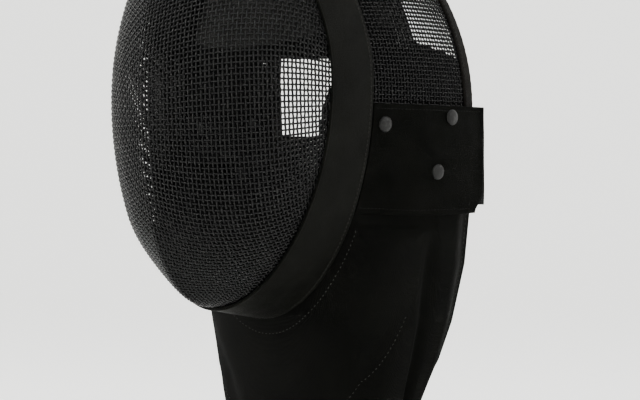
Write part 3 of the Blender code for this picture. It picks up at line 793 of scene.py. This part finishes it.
def ribbed_elastic():
    """Woven elastic with ribs along its length."""
    finish = Finish("ribbed_elastic", (0.004, 0.004, 0.004), 0.85, Specular_IOR_Level=0.04)
    dye = finish.spread(finish.noise(60, 4), 0.3, 0.7)
    finish.colours(dye, (0.0020, 0.0020, 0.0019), (0.0040, 0.0040, 0.0037))
    finish.relief(finish.waves(210, "Z"), 0.0005)
    finish.relief(finish.noise(1500, 3), 0.00015)
    return finish.material


def dark_metal():
    """Blackened rivet metal, rubbed bright in small spots."""
    finish = Finish("dark_metal", (0.01, 0.01, 0.0095), 0.40, 0.0, Specular_IOR_Level=0.14)
    rub = finish.spread(finish.noise(320, 5), 0.52, 0.78)
    finish.colours(rub, (0.0045, 0.0045, 0.0042), (0.018, 0.018, 0.017))
    finish.roughness(finish.spread(finish.noise(700, 3), 0.3, 0.7, 0.28, 0.50))
    finish.relief(finish.noise(420, 4), 0.00008)
    return finish.material


def thread_cotton(name, colour):
    """Twisted sewing thread."""
    finish = Finish(name, colour, 0.8, Specular_IOR_Level=0.1)
    finish.relief(finish.waves(1800, "DIAGONAL"), 0.0001)
    return finish.material


def paper(name, colour):
    """Pale seamless backdrop."""
    finish = Finish(name, colour, 0.95, Emission_Color=(*colour, 1), Emission_Strength=0.36)
    tint = tuple(value * 0.985 for value in colour)
    finish.colours(finish.spread(finish.noise(0.6, 3), 0.3, 0.7), colour, tint)
    return finish.material


WIRE = black_wire()
BAND_LEATHER = leather(
    "band_leather", dark=(0.0022, 0.0023, 0.0018), light=(0.0044, 0.0045, 0.0036),
    grain=1100, grain_depth=0.00018, low_rough=0.44, high_rough=0.62, shine=0.030)
TRIM_LEATHER = leather(
    "trim_leather", dark=(0.0028, 0.0024, 0.0019), light=(0.0052, 0.0045, 0.0036),
    grain=1300, grain_depth=0.00015, low_rough=0.44, high_rough=0.60, shine=0.028)
PANEL_LEATHER = leather(
    "panel_leather", dark=(0.0009, 0.0010, 0.0007), light=(0.0021, 0.0022, 0.0017),
    grain=1000, grain_depth=0.00016, low_rough=0.52, high_rough=0.72, shine=0.016)
BIB_CLOTH = cloth(
    "bib_cloth", dark=(0.0012, 0.0013, 0.0010), light=(0.0025, 0.0026, 0.0020),
    thread=620, depth=0.00016, sheen=0.003)
PAD_CLOTH = cloth(
    "pad_cloth", dark=(0.0022, 0.0022, 0.0021), light=(0.0040, 0.0040, 0.0038),
    thread=760, depth=0.00015)
# Grey brow pad cloth, with a painted shadow that darkens its lower strip
BROW_CLOTH = cloth(
    "brow_cloth", dark=(0.0025, 0.0025, 0.0024), light=(0.060, 0.060, 0.058),
    thread=760, depth=0.00015, seam=brow_shadow_line)
ELASTIC = ribbed_elastic()
METAL = dark_metal()
THREAD = thread_cotton("grey_thread", (0.0300, 0.0300, 0.0270))
BLACK_THREAD = thread_cotton("black_thread", (0.0040, 0.0040, 0.0036))
BACKDROP = paper("backdrop_paper", (0.93, 0.93, 0.915))


# Ways to make a piece


def finished(name, mesh, material, replaced=()):
    """Piece of a mesh, riding on the mask, with its finish and the nodes that it stands for."""
    piece = bpy.data.objects.new(name, mesh)
    bpy.context.scene.collection.objects.link(piece)
    mesh.materials.append(material)
    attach(piece, "root")
    if replaced:
        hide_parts(*replaced)
    return piece


def smooth_mesh(form, name):
    """Smooth mesh of a finished form, which is freed."""
    mesh = bpy.data.meshes.new(name)
    form.to_mesh(mesh)
    form.free()
    mesh.shade_smooth()
    return mesh


def turned(profile, steps):
    """Form that a profile of radii and heights makes when it turns round the Z axis."""
    form = bmesh.new()
    verts = [form.verts.new((radius, 0, height)) for radius, height in profile]
    edges = [form.edges.new(pair) for pair in zip(verts, verts[1:])]
    bmesh.ops.spin(form, geom=verts + edges, cent=(0, 0, 0), axis=(0, 0, 1), angle=math.tau,
                   steps=steps, use_merge=True)
    bmesh.ops.remove_doubles(form, verts=form.verts, dist=1e-5)
    bmesh.ops.recalc_face_normals(form, faces=form.faces)
    return form


def shaped_grid(columns, rows, shape, inside):
    """Mesh of a grid whose points are placed by a function of two shares, faces away from inside."""
    sheet = bmesh.new()
    bmesh.ops.create_grid(sheet, x_segments=columns, y_segments=rows, size=0.5)
    for vertex in sheet.verts:
        vertex.co = row(shape(vertex.co.x + 0.5, vertex.co.y + 0.5))
    bmesh.ops.remove_doubles(sheet, verts=sheet.verts, dist=1e-6)
    sheet.normal_update()
    centre = row(inside)
    facing = 0.0
    for face in sheet.faces:
        facing += face.normal.dot(face.calc_center_median() - centre) * face.calc_area()
    if facing < 0:
        bmesh.ops.reverse_faces(sheet, faces=sheet.faces)
    return smooth_mesh(sheet, "sheet")


def wall(piece, thickness, offset=-1.0, edge=None, even=True):
    """Give a sheet its thickness, and round its edges."""
    solid = piece.modifiers.new("Wall", "SOLIDIFY")
    solid.thickness = thickness
    solid.offset = offset
    solid.use_even_offset = even
    if edge:
        rounding = piece.modifiers.new("Edge", "BEVEL")
        rounding.width = edge
        rounding.segments = 2
        rounding.limit_method = "ANGLE"
        rounding.angle_limit = math.radians(50)


def strands(name, lines, radius, material, replaced=(), sides=1):
    """Round strands along lines of points in the row frame, as one curve piece."""
    curve = bpy.data.curves.new(name, "CURVE")
    curve.dimensions = "3D"
    curve.bevel_depth = radius
    curve.bevel_resolution = sides
    curve.use_fill_caps = True
    for line in lines:
        spline = curve.splines.new("POLY")
        spline.points.add(len(line) - 1)
        flat = np.ones((len(line), 4))
        flat[:, :3] = line
        spline.points.foreach_set("co", flat.ravel())
        spline.use_smooth = True
    return finished(name, curve, material, replaced)


def woven(name, node, grid, inside, limits, sides, fullness):
    """Plain weave of wires through a half pitch grid of points, in the row frame.

    Limits says for each half row the first and last half column that is kept. Odd half rows carry
    the cross wires and odd half columns the upright ones.
    """
    down = np.gradient(grid, axis=0)
    along = np.gradient(grid, axis=1)
    normal = np.cross(along, down)
    normal /= np.linalg.norm(normal, axis=2, keepdims=True) + 1e-12
    outward = grid - np.array(inside)
    normal *= np.sign((normal * outward).sum(axis=2, keepdims=True))
    rows, columns = grid.shape[:2]
    middle = (columns - 1) // 2
    row_phase = np.sin(np.arange(rows) * math.pi / 2)
    column_phase = np.sin((np.arange(columns) - middle) * math.pi / 2)
    cross_wires = []
    for index in range(1, rows, 2):
        first, last = limits[index]
        if last - first < 3:
            continue
        lift = WIRE_SWING * row_phase[index] * column_phase[first:last + 1]
        cross_wires.append(grid[index, first:last + 1] + normal[index, first:last + 1] * lift[:, None])
    upright_wires = []
    for index in range(columns):
        if (index - middle) % 2 == 0:
            continue
        kept = [step for step in range(rows) if limits[step][0] <= index <= limits[step][1]]
        if len(kept) < 3:
            continue
        lift = -WIRE_SWING * row_phase[kept] * column_phase[index]
        upright_wires.append(grid[kept, index] + normal[kept, index] * lift[:, None])
    for direction, wires in (("cross", cross_wires), ("upright", upright_wires)):
        strands(f"{name}_{direction}_wires", wires, WIRE_RADIUS * fullness, WIRE, (node,), sides)


def face_wires():
    """Woven wires of the ridged face, from the ridge out to under the band."""
    half_pitch = WIRE_PITCH / 2
    rows = 2 * round(RIDGE_LENGTH / WIRE_PITCH) + 1
    # Half columns on each side of the ridge, more than the widest row needs
    reach = 110
    grid = np.zeros((rows, 2 * reach + 1, 3))
    limits = []
    distances = np.arange(reach + 1) * half_pitch
    for index in range(rows):
        down = index / (rows - 1)
        crest = ridge(ridge_angle(down))
        edge_angle = rim_angle(down)
        edge = wire_rim(edge_angle)
        across = np.array(band_frame(edge_angle)[0])
        outward = crest + edge - 2 * Vector((0, BULGE_Y, 0))
        length = arc_points(crest, edge, outward, flank_arc(down), [0.0])[1]
        shares = np.minimum(distances / max(length, 1e-6), 1.0)
        points = arc_points(crest, edge, outward, flank_arc(down), shares)[0]
        beyond = np.maximum(distances - length, 0.0)
        points = points + beyond[:, None] * across
        grid[index, reach:] = points
        grid[index, :reach] = points[:0:-1] * np.array([-1, 1, 1])
        last = int((length + TUCK * WIRE_TUCK_SHARE) / half_pitch)
        limits.append((reach - min(last, reach), reach + min(last, reach)))
    grid -= np.array(SEAT)
    woven("face", "face_mesh", grid, row((0, RIM_Y, 0)), limits, FACE_WIRE_SIDES, FACE_WIRE_FULLNESS)


def crown_wires():
    """Woven wires of the crown, from under the band back to the arch."""
    half_pitch = WIRE_PITCH / 2
    low = around_at(CROWN_LOW_Z)
    upright = ARCH_LENGTH + (low - 1) * ARCH_HALF_WIDTH
    reach = round(upright / half_pitch)
    columns = 2 * reach + 1
    # Half rows from the arch to the band, more than the deepest column needs
    depth = 80
    grid = np.zeros((columns, depth, 3))
    limits = []
    for index in range(columns):
        place = (index - reach) * half_pitch
        size = abs(place)
        around = size / ARCH_LENGTH
        if size >= ARCH_LENGTH:
            around = 1 + (size - ARCH_LENGTH) / ARCH_HALF_WIDTH
        start, end, across, outward, half_arc = crown_row(max(around, 1e-4))
        length = arc_points(start, end, outward, half_arc, [0.0])[1]
        from_arch = np.arange(depth) * half_pitch
        shares = np.clip(1 - from_arch / length, 0.0, 1.0)
        points = arc_points(start, end, outward, half_arc, shares)[0]
        beyond = np.maximum(from_arch - length, 0.0)
        points = points - beyond[:, None] * np.array(across)
        points[:, 0] *= math.copysign(1, place)
        grid[index] = points
        last = int((length + TUCK * WIRE_TUCK_SHARE) / half_pitch)
        limits.append((1, min(last, depth - 1)))
    grid -= np.array(SEAT)
    woven("crown", "crown_mesh", grid, row((0, 0, 0)), limits, CROWN_WIRE_SIDES, CROWN_WIRE_FULLNESS)


def surface_of(shape):
    """Function that gives a shape's point and normal at two shares."""
    step = 0.004

    def surface_at(across, down):
        side = shape(across + step, down) - shape(across - step, down)
        fall = shape(across, down + step) - shape(across, down - step)
        return shape(across, down), side.cross(fall).normalized()
    return surface_at


def stitches(name, lines, outward, thread=None, pitch=STITCH_PITCH, length=STITCH_LENGTH):
    """Rows of thread stitches along lines of points and normals in the mask's own frame.

    Outward is a point that the normals look away from. Each stitch dips in at both ends.
    """
    rng = random.Random(len(name))
    sewn = []
    for line in lines:
        points = np.array([point for point, _ in line])
        normals = np.array([normal for _, normal in line])
        facing = ((points - np.array(outward)) * normals).sum(axis=1, keepdims=True)
        normals = normals * np.sign(facing)
        steps = np.linalg.norm(np.diff(points, axis=0), axis=1)
        reach = np.concatenate(([0.0], np.cumsum(steps)))
        for index in range(int(reach[-1] / pitch)):
            start = index * pitch + rng.uniform(-0.1, 0.1) * (pitch - length)
            stitch = []
            for share, height in STITCH_PROFILE:
                place = start + share * length
                point = [np.interp(place, reach, points[:, axis]) for axis in range(3)]
                normal = [np.interp(place, reach, normals[:, axis]) for axis in range(3)]
                stitch.append(np.array(row(point)) + np.array(normal) * STITCH_LIFT * height)
            sewn.append(stitch)
    return strands(name, sewn, STITCH_RADIUS, thread or BLACK_THREAD)


def face_band():
    """Leather band round the face: softly domed, a little uneven, with a rolled front edge."""
    def shape(round_share, across):
        angle = (round_share * 2 - 1) * math.pi
        dome = BAND_THICKNESS * BAND_DOME_SHARE * (1 - (2 * across - 1) ** 2)
        ripple = BAND_RIPPLE * math.sin(angle * 9 + across * 2) * math.sin(angle * 4 + 1)
        pinch = ripple * math.sin(math.pi * min(max(across, 0), 1))
        point = front_rim(angle).lerp(rear_rim(angle), across)
        return point + band_frame(angle)[1] * (dome + pinch)

    mesh = shaped_grid(240, 12, shape, (0, RIM_Y, 0))
    band = finished("leather_band", mesh, BAND_LEATHER, ("face_band",))
    wall(band, BAND_THICKNESS, edge=0.0006)
    surface_at = surface_of(shape)
    seam = [surface_at(share, BAND_SEAM_SHARE) for share in np.linspace(0.001, 0.999, 500)]
    stitches("band_stitches", [seam], (0, -0.07, 0), THREAD, length=BAND_STITCH_LENGTH)
    rolled = []
    for share in np.linspace(0, 1, 400):
        normal = band_frame((share * 2 - 1) * math.pi)[1]
        rolled.append(row(shape(share, BAND_CORD_SHARE) + normal * BAND_CORD_LIFT))
    strands("band_front_cord", [rolled], BAND_CORD_RADIUS, BAND_LEATHER, sides=2)


def rear_trim():
    """Leather binding folded over the crown's rear edge, with a round fold and one row of stitches."""
    low = around_at(CROWN_LOW_Z)
    reach = TRIM_WIDTH - TRIM_THICKNESS / 2
    lift = WIRE_THICKNESS / 2 + GAP + TRIM_THICKNESS / 2
    section = [
        # back from the crown's edge, out from the wire's middle
        (-reach, lift),
        (-reach * 0.75, lift * 1.02),
        (-reach * 0.50, lift),
        (-reach * 0.25, lift),
    ]
    for step in range(9):
        turn = step / 8 * math.pi
        section.append((TRIM_THICKNESS * math.sin(turn), lift * math.cos(turn)))
    section += [(-reach * share, -lift) for share in (0.25, 0.50, 0.75, 1.00)]

    def shape(across, fold):
        around = (across * 2 - 1) * low
        back, out = section[round(fold * (len(section) - 1))]
        point, normal = side_frame(around, 1.0)
        inner = side_frame(around, 1 + back / crown_length(around))[0]
        if back > 0:
            inner = point + (point - side_frame(around, 0.97)[0]).normalized() * back
        pucker = TRIM_PUCKER * math.sin(around * 180)
        return inner + normal * (out + pucker * math.copysign(1, out))

    mesh = shaped_grid(260, len(section) - 1, shape, (0, 0, 0))
    trim = finished("leather_binding", mesh, TRIM_LEATHER, ("rear_trim",))
    wall(trim, TRIM_THICKNESS)
    line = []
    for around in np.linspace(-low, low, 500):
        point, normal = side_frame(around, 1 - TRIM_SEAM_REACH / crown_length(around))
        line.append((point + normal * (TRIM_OFFSET - 0.0001), normal))
    stitches("binding_stitches", [line], (0, 0, 0))


def side_panels():
    """Leather panels that swell a little between their edges, with a crease and rows of stitches."""
    top = around_at(PANEL_TOP_Z)
    low = around_at(PANEL_LOW_Z)
    for side, label in ((1, "left"), (-1, "right")):
        def shape(back_share, down):
            around = top + (low - top) * down
            length = crown_length(around)
            start = PANEL_CLEARANCE / length
            corner = PANEL_CORNER * ease(PANEL_CORNER_SHARE, 1.0, down)
            end = 1 + (PANEL_OVERHANG - corner) / length
            back = start + (end - start) * back_share
            point, normal = side_frame(around * side, back)
            middle = math.sin(math.pi * back_share) * math.sin(math.pi * down)
            crease = math.exp(-((down - 0.55 - 0.25 * back_share) / 0.07) ** 2)
            ripple = PANEL_RIPPLE * math.sin(back_share * 17 + down * 5)
            ripple *= math.sin(down * 11 + 0.7 * side)
            swell = (PANEL_SWELL - PANEL_CREASE * crease) * middle
            return point + normal * (panel_offset(back) + swell + ripple)

        name = f"side_panel_{label}"
        mesh = shaped_grid(90, 56, shape, (0, 0, 0))
        panel = finished(f"leather_{name}", mesh, PANEL_LEATHER, (name,))
        wall(panel, PANEL_THICKNESS, offset=1.0, edge=0.0005)

        def outer_face(back_share, down):
            point, normal = surface_of(shape)(back_share, down)
            normal = normal * math.copysign(1, normal.x * side)
            return point + normal * PANEL_THICKNESS, normal

        top_row = [outer_face(share, 0.045) for share in np.linspace(0.02, 0.98, 90)]
        low_row = [outer_face(share, 0.95) for share in np.linspace(0.02, 0.96, 90)]
        rear_row = [outer_face(0.975, share) for share in np.linspace(0.05, 0.94, 70)]
        stitches(f"{name}_stitches", [top_row, low_row, rear_row], (0, 0, 0))


def back_strap():
    """Ribbed elastic strap round the back of the head, a little wavy."""
    def shape(along, down):
        point = strap_point(2 * along - 1, down)
        free = ease(0.32, 0.45, 1 - abs(2 * along - 1))
        wave = STRAP_WAVE * free * math.sin(along * 40) * math.sin(down * 6)
        return point + Vector((point.x, point.y, 0)).normalized() * wave

    mesh = shaped_grid(200, 16, shape, (0, 0, 0))
    strap = finished("elastic_strap", mesh, ELASTIC, ("back_strap",))
    wall(strap, STRAP_THICKNESS, offset=1.0, edge=0.0005)


def side_linings():
    """Cloth linings inside the sides of the crown, with soft puckers."""
    backs, heights = zip(*LINING_TOP)
    length = crown_length(1.0)
    start = -LINING_TUCK / length
    span = 1 - LINING_END / length - start
    for side, label in ((1, "left"), (-1, "right")):
        def shape(back_share, rise):
            back = start + span * back_share
            top = float(np.interp(back, backs, heights))
            around = around_of(LINING_LOW_Z + (top - LINING_LOW_Z) * rise, back)
            point, normal = side_frame(around * side, back)
            gathers = 1 + math.sin(back_share * 46 + rise * 5)
            pucker = LINING_PUCKER * gathers * math.sin(math.pi * rise)
            return point - normal * (lining_offset(back) + pucker)

        name = f"lining_{label}"
        mesh = shaped_grid(72, 16, shape, (0, 0, 0))
        lining = finished(f"cloth_{name}", mesh, PAD_CLOTH, (name,))
        wall(lining, LINING_THICKNESS, edge=0.0007)


def inner_edging():
    """Thin cloth edging inside each side of the crown: up along the band, and along the brow pad."""
    length = crown_length(1.0)
    for side, label in ((1, "left"), (-1, "right")):
        def shape(back_share, rise):
            back = (EDGING_START + EDGING_LENGTH * back_share) / length
            top = EDGING_TOP_Z + EDGING_RISE * (1 - ease(*EDGING_STEP, back * length))
            around = around_of(EDGING_LOW_Z + (top - EDGING_LOW_Z) * rise, back)
            point, normal = side_frame(around * side, back)
            return point - normal * EDGING_OFFSET

        mesh = shaped_grid(40, 30, shape, (0, 0, 0))
        edging = finished(f"cloth_edging_{label}", mesh, PAD_CLOTH)
        wall(edging, EDGING_THICKNESS)


def tongue():
    """Leather covered spring strip from the arch down to the nape pad."""
    top_height = tongue_line(0.0)[1]

    def shape(across, down):
        turn = down * math.pi / 2
        height = TONGUE_LOW_Z + (top_height - TONGUE_LOW_Z) * math.cos(turn)
        depth, _ = tongue_line(height)
        x = (2 * across - 1) * TONGUE_HALF_WIDTH
        sag = ARCH_RISE * (1 - math.sqrt(1 - (x / ARCH_HALF_WIDTH) ** 2))
        return Vector((x, depth - back_sweep(x) * (1 - math.cos(turn)), height - sag * math.cos(turn)))

    mesh = shaped_grid(24, 90, shape, (0, 0, -0.1))
    strip = finished("spring_tongue", mesh, TRIM_LEATHER, ("tongue",))
    wall(strip, TONGUE_THICKNESS, edge=0.0005)
    surface_at = surface_of(shape)
    lines = []
    for place in (0.07, 0.93):
        lines.append([surface_at(place, share) for share in np.linspace(0.03, 0.985, 120)])
    stitches("tongue_stitches", lines, (0, 0, 0))


def bib():
    """Cloth bib below the chin, with its folds, a turned hem and its stitched seams."""
    rng = random.Random(7)
    rumples = []
    for _ in range(RUMPLE_COUNT):
        rumples.append([rng.uniform(lowest, highest) for lowest, highest in RUMPLE_RANGES])
    hanging_rows = BIB_ROWS - BIB_TUCKED_ROWS

    def shape(round_share, down):
        place = 2 * round_share - 1
        below = down * BIB_ROWS - BIB_TUCKED_ROWS
        level = below / (hanging_rows if below > 0 else BIB_TUCKED_ROWS)
        point = bib_point(place, level)
        outward = Vector((point.x, point.y - BIB_CENTRE_Y, 0)).normalized()
        dent = 0.0
        for x, y, width, height, slant, depth in rumples:
            across = (place - x - slant * (level - y)) / width
            along = (level - y) / height
            dent += depth * math.exp(-across * across - along * along)
        fade = 1 - ease(ARC_END - 0.03, ARC_END + 0.02, abs(place))
        from_arc = (level - bib_arc(abs(place))) / BIB_GROOVE_WIDTH
        groove = BIB_GROOVE_DEPTH * math.exp(-from_arc ** 2) * fade
        return point - outward * (abs(dent) * ease(0.02, 0.2, level) + groove)

    mesh = shaped_grid(BIB_COLUMNS, BIB_ROWS, shape, (0, 0, CHIN_Z))
    cloth_piece = finished("cloth_bib", mesh, BIB_CLOTH, ("bib",))
    wall(cloth_piece, BIB_THICKNESS, edge=0.0006, even=False)
    surface_at = surface_of(shape)

    def seam(places):
        line = []
        for place, level in places:
            line.append(surface_at((place + 1) / 2, (level * hanging_rows + BIB_TUCKED_ROWS) / BIB_ROWS))
        return line

    below_band = []
    for place in np.linspace(-0.33, 0.33, 240):
        top, low, _ = bib_ends(abs(place))
        below_band.append((place, 0.014 / (top - low)))
    arcs = []
    for sign in (-1, 1):
        arcs.append([(sign * place, bib_arc(place) + 0.010) for place in np.linspace(0.0, 0.49, 160)])
    hem = [(place, 0.965) for place in np.linspace(-0.97, 0.97, 400)]
    edges = [[(sign * 0.965, level) for level in np.linspace(0.03, 0.96, 140)] for sign in (-1, 1)]
    lines = [seam(places) for places in [below_band, hem] + arcs + edges]
    sewn = stitches("bib_stitches", lines, (0, BIB_CENTRE_Y, CHIN_Z), THREAD,
                    BIB_STITCH_PITCH, BIB_STITCH_LENGTH)


def rivet_profile(outer, inner):
    """Radii and heights of a rivet: domed cap on the panel, shank, and washer on the inner side."""
    edge = 0.0006
    profile = [(0.0, outer + RIVET_DOME)]
    for step in range(1, 9):
        turn = step / 9 * math.pi / 2
        level = outer + edge + (RIVET_DOME - edge) * math.cos(turn) ** 0.9
        profile.append((RIVET_RADIUS * 0.97 * math.sin(turn), level))
    return profile + [
        # radius, height
        (RIVET_RADIUS, outer + 0.0005),
        (RIVET_RADIUS, outer + 0.0002),
        (RIVET_RADIUS * 0.98, outer),
        (SHANK_RADIUS, outer),
        (SHANK_RADIUS, inner),
        (WASHER_RADIUS * 0.97, inner),
        (WASHER_RADIUS, inner - WASHER_THICKNESS * 0.3),
        (WASHER_RADIUS * 0.96, inner - WASHER_THICKNESS),
        (SHANK_RADIUS * 1.3, inner - WASHER_THICKNESS),
        (SHANK_RADIUS * 1.1, inner - WASHER_THICKNESS),
        (0.0, inner - WASHER_THICKNESS),
    ]


def rivets():
    """Domed rivets, each a turned cap with its shank and inner washer."""
    for side, label in ((1, "left"), (-1, "right")):
        for place, (height, back) in RIVETS.items():
            point, normal = side_frame(around_at(height) * side, back)
            outer = panel_offset(back) + PANEL_THICKNESS + GAP
            inner = -WIRE_THICKNESS / 2 - GAP
            if height < CROWN_LOW_Z:
                inner = strap_offset(back) - GAP
            form = turned(rivet_profile(outer, inner), 40)
            facing = normal.to_track_quat("Z", "Y").to_matrix().to_4x4()
            bmesh.ops.transform(form, matrix=Matrix.Translation(row(point)) @ facing, verts=form.verts)
            name = f"rivet_{label}_{place}"
            finished(f"turned_{name}", smooth_mesh(form, "rivet"), METAL, (name,))


def pad(name, node, material, voxel, outer_cap, inner_cap, centre):
    """Stuffed cloth pad: the node's solid, remeshed, blown up by a cloth simulation and smoothed."""
    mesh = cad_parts[node].data.copy()
    mesh.transform(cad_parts[node].matrix_world)
    mesh.materials.clear()
    piece = finished(name, mesh, material, (node,))
    remesh = piece.modifiers.new("Remesh", "REMESH")
    remesh.mode = "VOXEL"
    remesh.voxel_size = voxel
    even = piece.modifiers.new("Even", "SMOOTH")
    even.iterations = 4
    settle(piece)
    start = points_of(piece)
    fabric = piece.modifiers.new("Cloth", "CLOTH")
    fabric.settings.quality = 6
    fabric.settings.use_pressure = True
    fabric.settings.uniform_pressure_force = 4.0
    fabric.settings.effector_weights.gravity = 0.0
    fabric.settings.tension_stiffness = 10
    fabric.settings.bending_stiffness = 0.3
    for step in range(1, 21):
        bpy.context.scene.frame_set(step)
    settle(piece)
    bpy.context.scene.frame_set(1)
    blown = points_of(piece)
    middle = np.array(row(centre))
    move = blown - start
    size = np.linalg.norm(move, axis=1, keepdims=True) + 1e-12
    outward = ((start - middle) * move).sum(axis=1, keepdims=True) > 0
    cap = np.where(outward, outer_cap, inner_cap)
    capped = start + move / size * np.minimum(size, cap)
    piece.data.vertices.foreach_set("co", capped.ravel())
    fine = piece.modifiers.new("Fine", "SUBSURF")
    fine.levels = 1
    fine.render_levels = 1
    piece.data.shade_smooth()


def settle(piece):
    """Make a piece's modified mesh its own, and leave no modifier on it."""
    graph = bpy.context.evaluated_depsgraph_get()
    made = bpy.data.meshes.new_from_object(piece.evaluated_get(graph))
    piece.modifiers.clear()
    piece.data = made


def points_of(piece):
    """Places of a piece's points."""
    flat = np.zeros(len(piece.data.vertices) * 3)
    piece.data.vertices.foreach_get("co", flat)
    return flat.reshape(-1, 3)


# Backdrop, light and camera


def stage():
    """Round pale floor that sweeps up into a wall, wide enough to hold every camera."""
    floor_z = cad_box[0][2] - 0.03
    radius, sweep, height = 4.6, 1.2, 5.0
    outline = [(0.0, floor_z), (radius - sweep, floor_z)]
    for step in range(1, 13):
        turn = step / 12 * math.pi / 2
        rise = sweep * (1 - math.cos(turn))
        outline.append((radius - sweep + sweep * math.sin(turn), floor_z + rise))
    outline.append((radius, floor_z + height))
    bowl = turned(outline, 96)
    floor = [face for face in bowl.faces if face.calc_center_median().z < floor_z + 0.01]
    if sum(face.normal.z for face in floor) < 0:
        bmesh.ops.reverse_faces(bowl, faces=bowl.faces)
    mesh = smooth_mesh(bowl, "backdrop")
    mesh.materials.append(BACKDROP)
    backdrop = bpy.data.objects.new("backdrop", mesh)
    bpy.context.scene.collection.objects.link(backdrop)


def softbox(name, azimuth, elevation, distance, size, power):
    """Square soft light that points at the mask."""
    turn, tilt = math.radians(azimuth), math.radians(elevation)
    light = bpy.data.lights.new(name, "AREA")
    light.shape = "SQUARE"
    light.size = size
    light.energy = power
    lamp = bpy.data.objects.new(name, light)
    away = Vector((math.sin(turn) * math.cos(tilt), -math.cos(turn) * math.cos(tilt), math.sin(tilt)))
    lamp.location = row((0, -0.03, -0.03)) + away * distance
    lamp.rotation_mode = "QUATERNION"
    lamp.rotation_quaternion = away.to_track_quat("Z", "Y")
    lamp.visible_camera = False
    bpy.context.scene.collection.objects.link(lamp)


def studio():
    """Soft studio light: a key from the left, a fill, a top light and an even surround."""
    world = bpy.data.worlds.new("surround")
    world.use_nodes = True
    surround = world.node_tree.nodes["Background"]
    surround.inputs["Color"].default_value = (1, 1, 1, 1)
    surround.inputs["Strength"].default_value = SURROUND_STRENGTH
    bpy.context.scene.world = world
    for name, settings in LIGHTS.items():
        softbox(name, *settings)


def camera():
    """Camera of the photograph: level, from the front and the wearer's left."""
    lens = bpy.data.cameras.new("camera")
    lens.sensor_width = 36
    lens.lens = FOCAL_PIXELS / IMAGE_WIDTH * lens.sensor_width
    lens.clip_end = 50
    viewer = bpy.data.objects.new("camera", lens)
    side, front = math.sin(CAMERA_TURN), math.cos(CAMERA_TURN)
    viewer.location = row((CAMERA_DISTANCE * side, -CAMERA_DISTANCE * front, CAMERA_HEIGHT))
    viewer.rotation_euler = (math.pi / 2, 0, CAMERA_TURN)
    bpy.context.scene.collection.objects.link(viewer)
    bpy.context.scene.camera = viewer


camera()
stage()
studio()
face_wires()
crown_wires()
face_band()
rear_trim()
side_panels()
back_strap()
tongue()
side_linings()
inner_edging()
bib()
rivets()
pad("brow_lining", "brow_pad", BROW_CLOTH,
    voxel=0.0036, outer_cap=0.0003, inner_cap=0.003, centre=(0, -0.02, 0))
pad("nape_cushion", "nape_pad", PAD_CLOTH,
    voxel=0.0032, outer_cap=0.0004, inner_cap=0.003, centre=(0, 0, 0))
pad("chin_cushion", "chin_pad", PAD_CLOTH,
    voxel=0.0028, outer_cap=0.0003, inner_cap=0.002, centre=(0, RIM_Y, 0))
